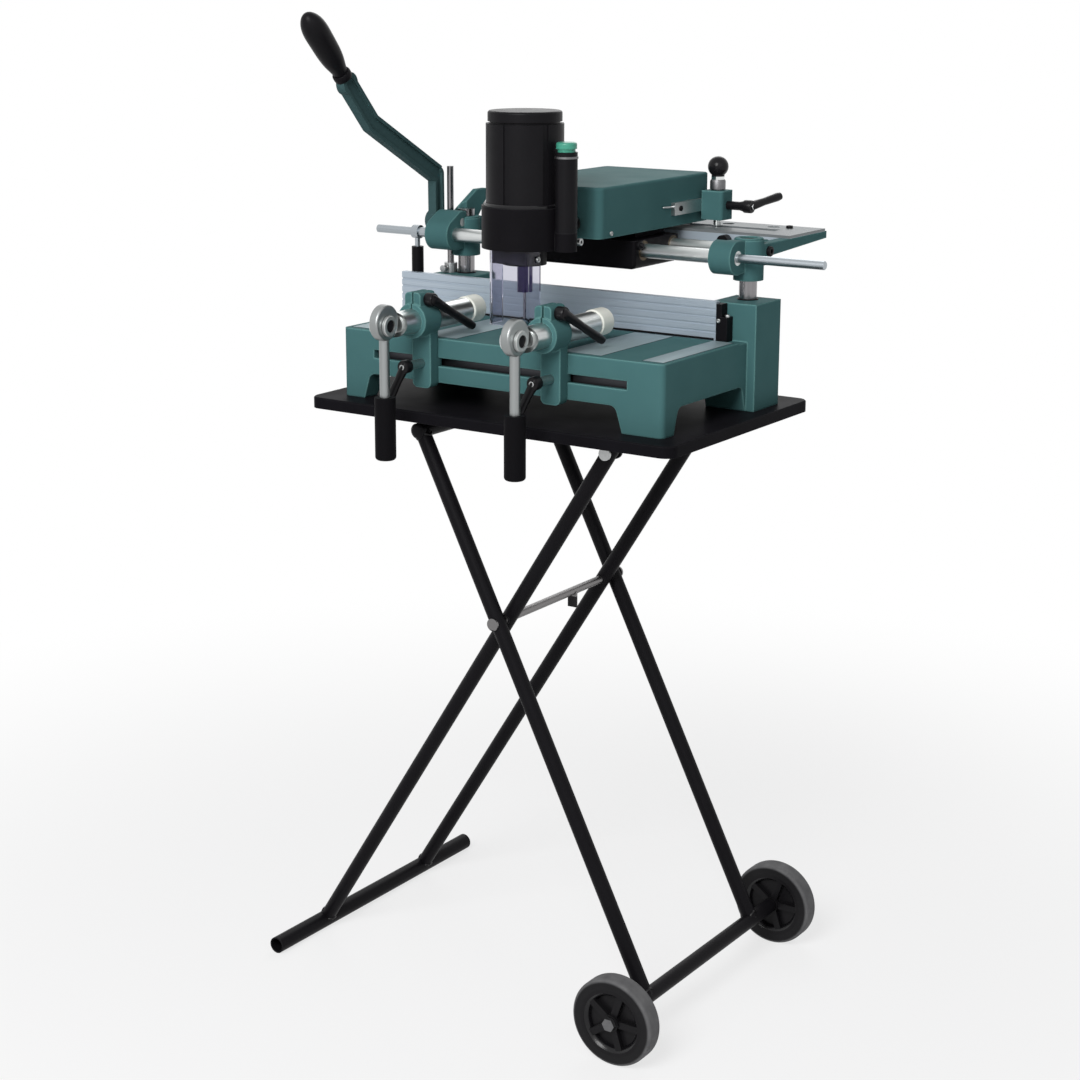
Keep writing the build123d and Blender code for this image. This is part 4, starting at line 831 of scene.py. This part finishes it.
def box_details():
    socket_screw("box_side_screw", mm(*BOX_SCREW), RIGHT, 3.2, 2, zinc, "slide")
    nut = hexagon_shape(7, 5, mm(*CARRIAGE_LOCK), RIGHT, 0.7)
    place_piece("carriage_lock_nut", nut, black_moulding, "carriage")
    stud = ((0, 9), (2.8, 9), (3.5, 8), (3.5, 0), (0, 0))
    stud = turned_shape(stud, mm(*CARRIAGE_LOCK), RIGHT, 24)
    place_piece("carriage_lock_stud", stud, black_moulding, "carriage")
    socket_screw("tracer_bar_screw", mm(*BAR_SCREW), RIGHT, 4, 1.6, black_moulding, "slide")
    pin = turned_shape(((0, 30), (1.2, 29), (1.4, 0), (0, 0)), mm(*BAR_PIN), BAR_PIN_LINE, 16)
    place_piece("tracer_bar_pin", pin, zinc, "slide")


# Tracer: collar on its block
TRACER_COLLAR = (117, 240, 1143)


def tracer_collar():
    collar = ((5.6, 0), (10.6, 0), (11.4, 0.8), (11.4, 12), (10.2, 14.5), (9.6, 14.5))
    place_piece("tracer_collar", turned_shape(collar, mm(*TRACER_COLLAR), UP), dull_steel, "tracer")


# Clamping levers: moulded arm and hub over each plain lever, with a bright screw
HUB_LENGTH = 12
HUB_END = HUB_LENGTH + 1.2


def clamping_lever(name, hub_start, hub_axis, arm_start, arm_reach, body):
    """A waisted arm on a round hub, with the screw that holds it."""
    length = Vector(arm_reach).length
    arm = ((0, -7), (5.5, -6.5), (7.2, -3), (7.4, 1), (6.6, length * 0.16), (5.5, length * 0.5),
           (6.0, length * 0.82), (6.3, length * 0.95), (5.4, length + 3.4), (3, length + 5),
           (0, length + 5.4))
    place_piece(f"{name}_arm", turned_shape(arm, mm(*arm_start), arm_reach, 32), lever_plastic, body)
    hub = ((0, 0.4), (9.2, 0.4), (9.4, 2), (9.4, HUB_LENGTH - 1), (8.6, HUB_LENGTH + 0.8), (4.4, HUB_END),
           (0, HUB_END))
    place_piece(f"{name}_hub", turned_shape(hub, mm(*hub_start), hub_axis, 32), lever_plastic, body)
    tip = Vector(hub_start) + Vector(hub_axis) * HUB_END
    socket_screw(f"{name}_screw", mm(*tip), hub_axis, 3.8, 1.8, zinc, body)


CLAMPS = (("left", -112), ("right", 102))
RATCHET_Y = -178.5
RATCHET_Z = 1015
RATCHET_HUB = 13.3
RATCHET_REACH = (9, 77, -44)
LOCK_NECK_Y = -175.6
LOCK_Y = -205.6
LOCK_REACH = (-20, -4, -40)
LOCK_ARM_STEP = 8
RATCHET_ARM_STEP = 10
CAM_FACE = 9.5
CAM_PIVOT = (-258, 988)
TRACER_NECK = (134.3, 240, 1121)
TRACER_HUB = (162, 240, 1121)
TRACER_ARM = (170, 240, 1121)
TRACER_REACH = (18, 54, 11)


def cam_collars():
    """The bright collar on the end of each clamp's cam pin, and a black disc in it as the painted shade of
    its hole.
    """
    for name, x in CLAMPS:
        start = mm(x + CAM_FACE, *CAM_PIVOT)
        collar = turned_shape(ring_profile(8.6, 14.2, 2.6, 1.2), start, RIGHT)
        place_piece(f"{name}_cam_collar", collar, satin, f"{name}_barrel")
        # A thin black disc stands for the shade inside the hole of the pin's end.
        socket = turned_shape(((0, 0.6), (8.6, 0.6), (8.6, 0), (0, 0)), start, RIGHT)
        place_piece(f"{name}_cam_hole_shade", socket, black_moulding, f"{name}_barrel")


def clamping_levers():
    for name, x in CLAMPS:
        ratchet = f"{name}_ratchet"
        hub = (x + RATCHET_HUB, RATCHET_Y, RATCHET_Z)
        arm = (hub[0] + RATCHET_ARM_STEP, RATCHET_Y, RATCHET_Z)
        clamping_lever(ratchet, hub, RIGHT, arm, RATCHET_REACH, ratchet)
        lock = f"{name}_lock"
        hub = (x, LOCK_Y, SLOT_CENTRE)
        arm = (x, LOCK_Y - LOCK_ARM_STEP, SLOT_CENTRE)
        clamping_lever(lock, hub, FRONT, arm, LOCK_REACH, lock)
        stud = ((6.3, 0), (6.3, 27), (7.2, 29.6), (0, 29.6))
        stud = turned_shape(stud, mm(x, LOCK_NECK_Y, SLOT_CENTRE), FRONT, 32)
        place_piece(f"{name}_lock_stud", stud, zinc, lock)
    neck = ((6.3, 0.2), (6.3, 20), (8.0, 27.6), (0, 27.6))
    neck = turned_shape(neck, mm(*TRACER_NECK), RIGHT, 32)
    place_piece("tracer_lever_neck", neck, lever_plastic, "tracer_clamp")
    clamping_lever("tracer", TRACER_HUB, RIGHT, TRACER_ARM, TRACER_REACH, "tracer_clamp")


table_strips()
slot_liner()
column_wipers()
fence_foot_shadow()
fence_screws()
tube_plugs()
stand_welds()
wheel_dishes()
head_details()
lever_collar()
motor_details()
guard_mount()
box_details()
tracer_collar()
cam_collars()
clamping_levers()

# Light, floor and camera


def soft_lamp(name, place, target, size, power):
    lamp = bpy.data.lights.new(name, "AREA")
    lamp.shape = "DISK"
    lamp.size = size
    lamp.energy = power
    lamp_object = bpy.data.objects.new(name, lamp)
    lamp_object.location = place
    lamp_object.rotation_euler = (Vector(target) - Vector(place)).to_track_quat("-Z", "Y").to_euler()
    bpy.context.scene.collection.objects.link(lamp_object)


def sight_rays(tree):
    """1 for the rays that show the background to the camera, to metal and through clear plastic."""
    path = tree.nodes.new("ShaderNodeLightPath")
    direct = tree.nodes.new("ShaderNodeMath")
    direct.operation = "MAXIMUM"
    every = tree.nodes.new("ShaderNodeMath")
    every.operation = "MAXIMUM"
    tree.links.new(path.outputs["Is Camera Ray"], direct.inputs[0])
    tree.links.new(path.outputs["Is Glossy Ray"], direct.inputs[1])
    tree.links.new(direct.outputs["Value"], every.inputs[0])
    tree.links.new(path.outputs["Is Transmission Ray"], every.inputs[1])
    return every.outputs["Value"]


def studio_world(strength):
    world = bpy.data.worlds.new("studio")
    bpy.context.scene.world = world
    world.use_nodes = True
    tree = world.node_tree
    tree.nodes.clear()
    output = tree.nodes.new("ShaderNodeOutputWorld")
    seen = tree.nodes.new("ShaderNodeBackground")
    seen.inputs["Color"].default_value = (1, 1, 1, 1)
    seen.inputs["Strength"].default_value = 1.0
    lit = tree.nodes.new("ShaderNodeBackground")
    lit.inputs["Color"].default_value = (1, 1, 1, 1)
    lit.inputs["Strength"].default_value = strength
    mix = tree.nodes.new("ShaderNodeMixShader")
    tree.links.new(sight_rays(tree), mix.inputs["Fac"])
    tree.links.new(lit.outputs["Background"], mix.inputs[1])
    tree.links.new(seen.outputs["Background"], mix.inputs[2])
    tree.links.new(mix.outputs["Shader"], output.inputs["Surface"])


def pale_floor_finish():
    """Pale floor that takes the part's shadow near it and clears to white further out."""
    material, tree, shader = blank_material("pale_floor")
    shader.inputs["Base Color"].default_value = (*FLOOR_PALE, 1.0)
    shader.inputs["Roughness"].default_value = 0.9
    shader.inputs["Specular IOR Level"].default_value = 0.1
    away = tree.nodes.new("ShaderNodeVectorMath")
    away.operation = "LENGTH"
    clear = tree.nodes.new("ShaderNodeMapRange")
    clear.interpolation_type = "SMOOTHSTEP"
    clear.inputs["From Min"].default_value = FLOOR_NEAR
    clear.inputs["From Max"].default_value = FLOOR_FAR
    clear.inputs["To Min"].default_value = FLOOR_NEAR_WHITE
    share = tree.nodes.new("ShaderNodeMath")
    share.operation = "MULTIPLY"
    glow = tree.nodes.new("ShaderNodeEmission")
    mix = tree.nodes.new("ShaderNodeMixShader")
    tree.links.new(object_place(tree), away.inputs[0])
    tree.links.new(away.outputs["Value"], clear.inputs["Value"])
    tree.links.new(clear.outputs["Result"], share.inputs[0])
    tree.links.new(sight_rays(tree), share.inputs[1])
    tree.links.new(share.outputs["Value"], mix.inputs["Fac"])
    tree.links.new(shader.outputs["BSDF"], mix.inputs[1])
    tree.links.new(glow.outputs["Emission"], mix.inputs[2])
    tree.links.new(mix.outputs["Shader"], tree.nodes["Material Output"].inputs["Surface"])
    return material


def pale_floor(size):
    shape = bmesh.new()
    bmesh.ops.create_grid(shape, x_segments=1, y_segments=1, size=size)
    mesh = bpy.data.meshes.new("floor")
    shape.to_mesh(mesh)
    shape.free()
    mesh.materials.append(pale_floor_finish())
    floor = bpy.data.objects.new("floor", mesh)
    bpy.context.scene.collection.objects.link(floor)


def photo_camera():
    camera = bpy.data.cameras.new("photo_camera")
    camera.sensor_width = SENSOR
    camera.lens = SENSOR * FOCAL_PIXELS / FRAME_PIXELS
    camera.shift_x = (FRAME_PIXELS / 2 - AXIS_PIXEL_X) / FRAME_PIXELS
    camera.shift_y = (AXIS_PIXEL_Y - FRAME_PIXELS / 2) / FRAME_PIXELS
    camera.clip_end = 400
    camera_object = bpy.data.objects.new("photo_camera", camera)
    camera_object.location = CAMERA_PLACE
    camera_object.rotation_euler = (radians(90 - CAMERA_PITCH), 0, radians(CAMERA_YAW))
    bpy.context.scene.collection.objects.link(camera_object)
    bpy.context.scene.camera = camera_object


FLOOR_NEAR = 0.5
FLOOR_FAR = 2.0
FLOOR_NEAR_WHITE = 0.72
FLOOR_SIZE = 150
LAMP_TARGET = (0, 0, 0.8)
KEY_PLACE = (0.6, -3.1, 2.9)
KEY_POWER = 114
FILL_PLACE = (2.8, -1.6, 2.4)
FILL_POWER = 8
REAR_PLACE = (-1.2, 2.6, 2.8)
REAR_POWER = 20
WORLD_LIGHT = 0.22
studio_world(WORLD_LIGHT)
soft_lamp("key_lamp", KEY_PLACE, LAMP_TARGET, 2.0, KEY_POWER)
soft_lamp("fill_lamp", FILL_PLACE, LAMP_TARGET, 2.4, FILL_POWER)
soft_lamp("rear_lamp", REAR_PLACE, LAMP_TARGET, 2.2, REAR_POWER)
pale_floor(FLOOR_SIZE)
photo_camera()
bpy.context.scene.view_settings.view_transform = "Standard"
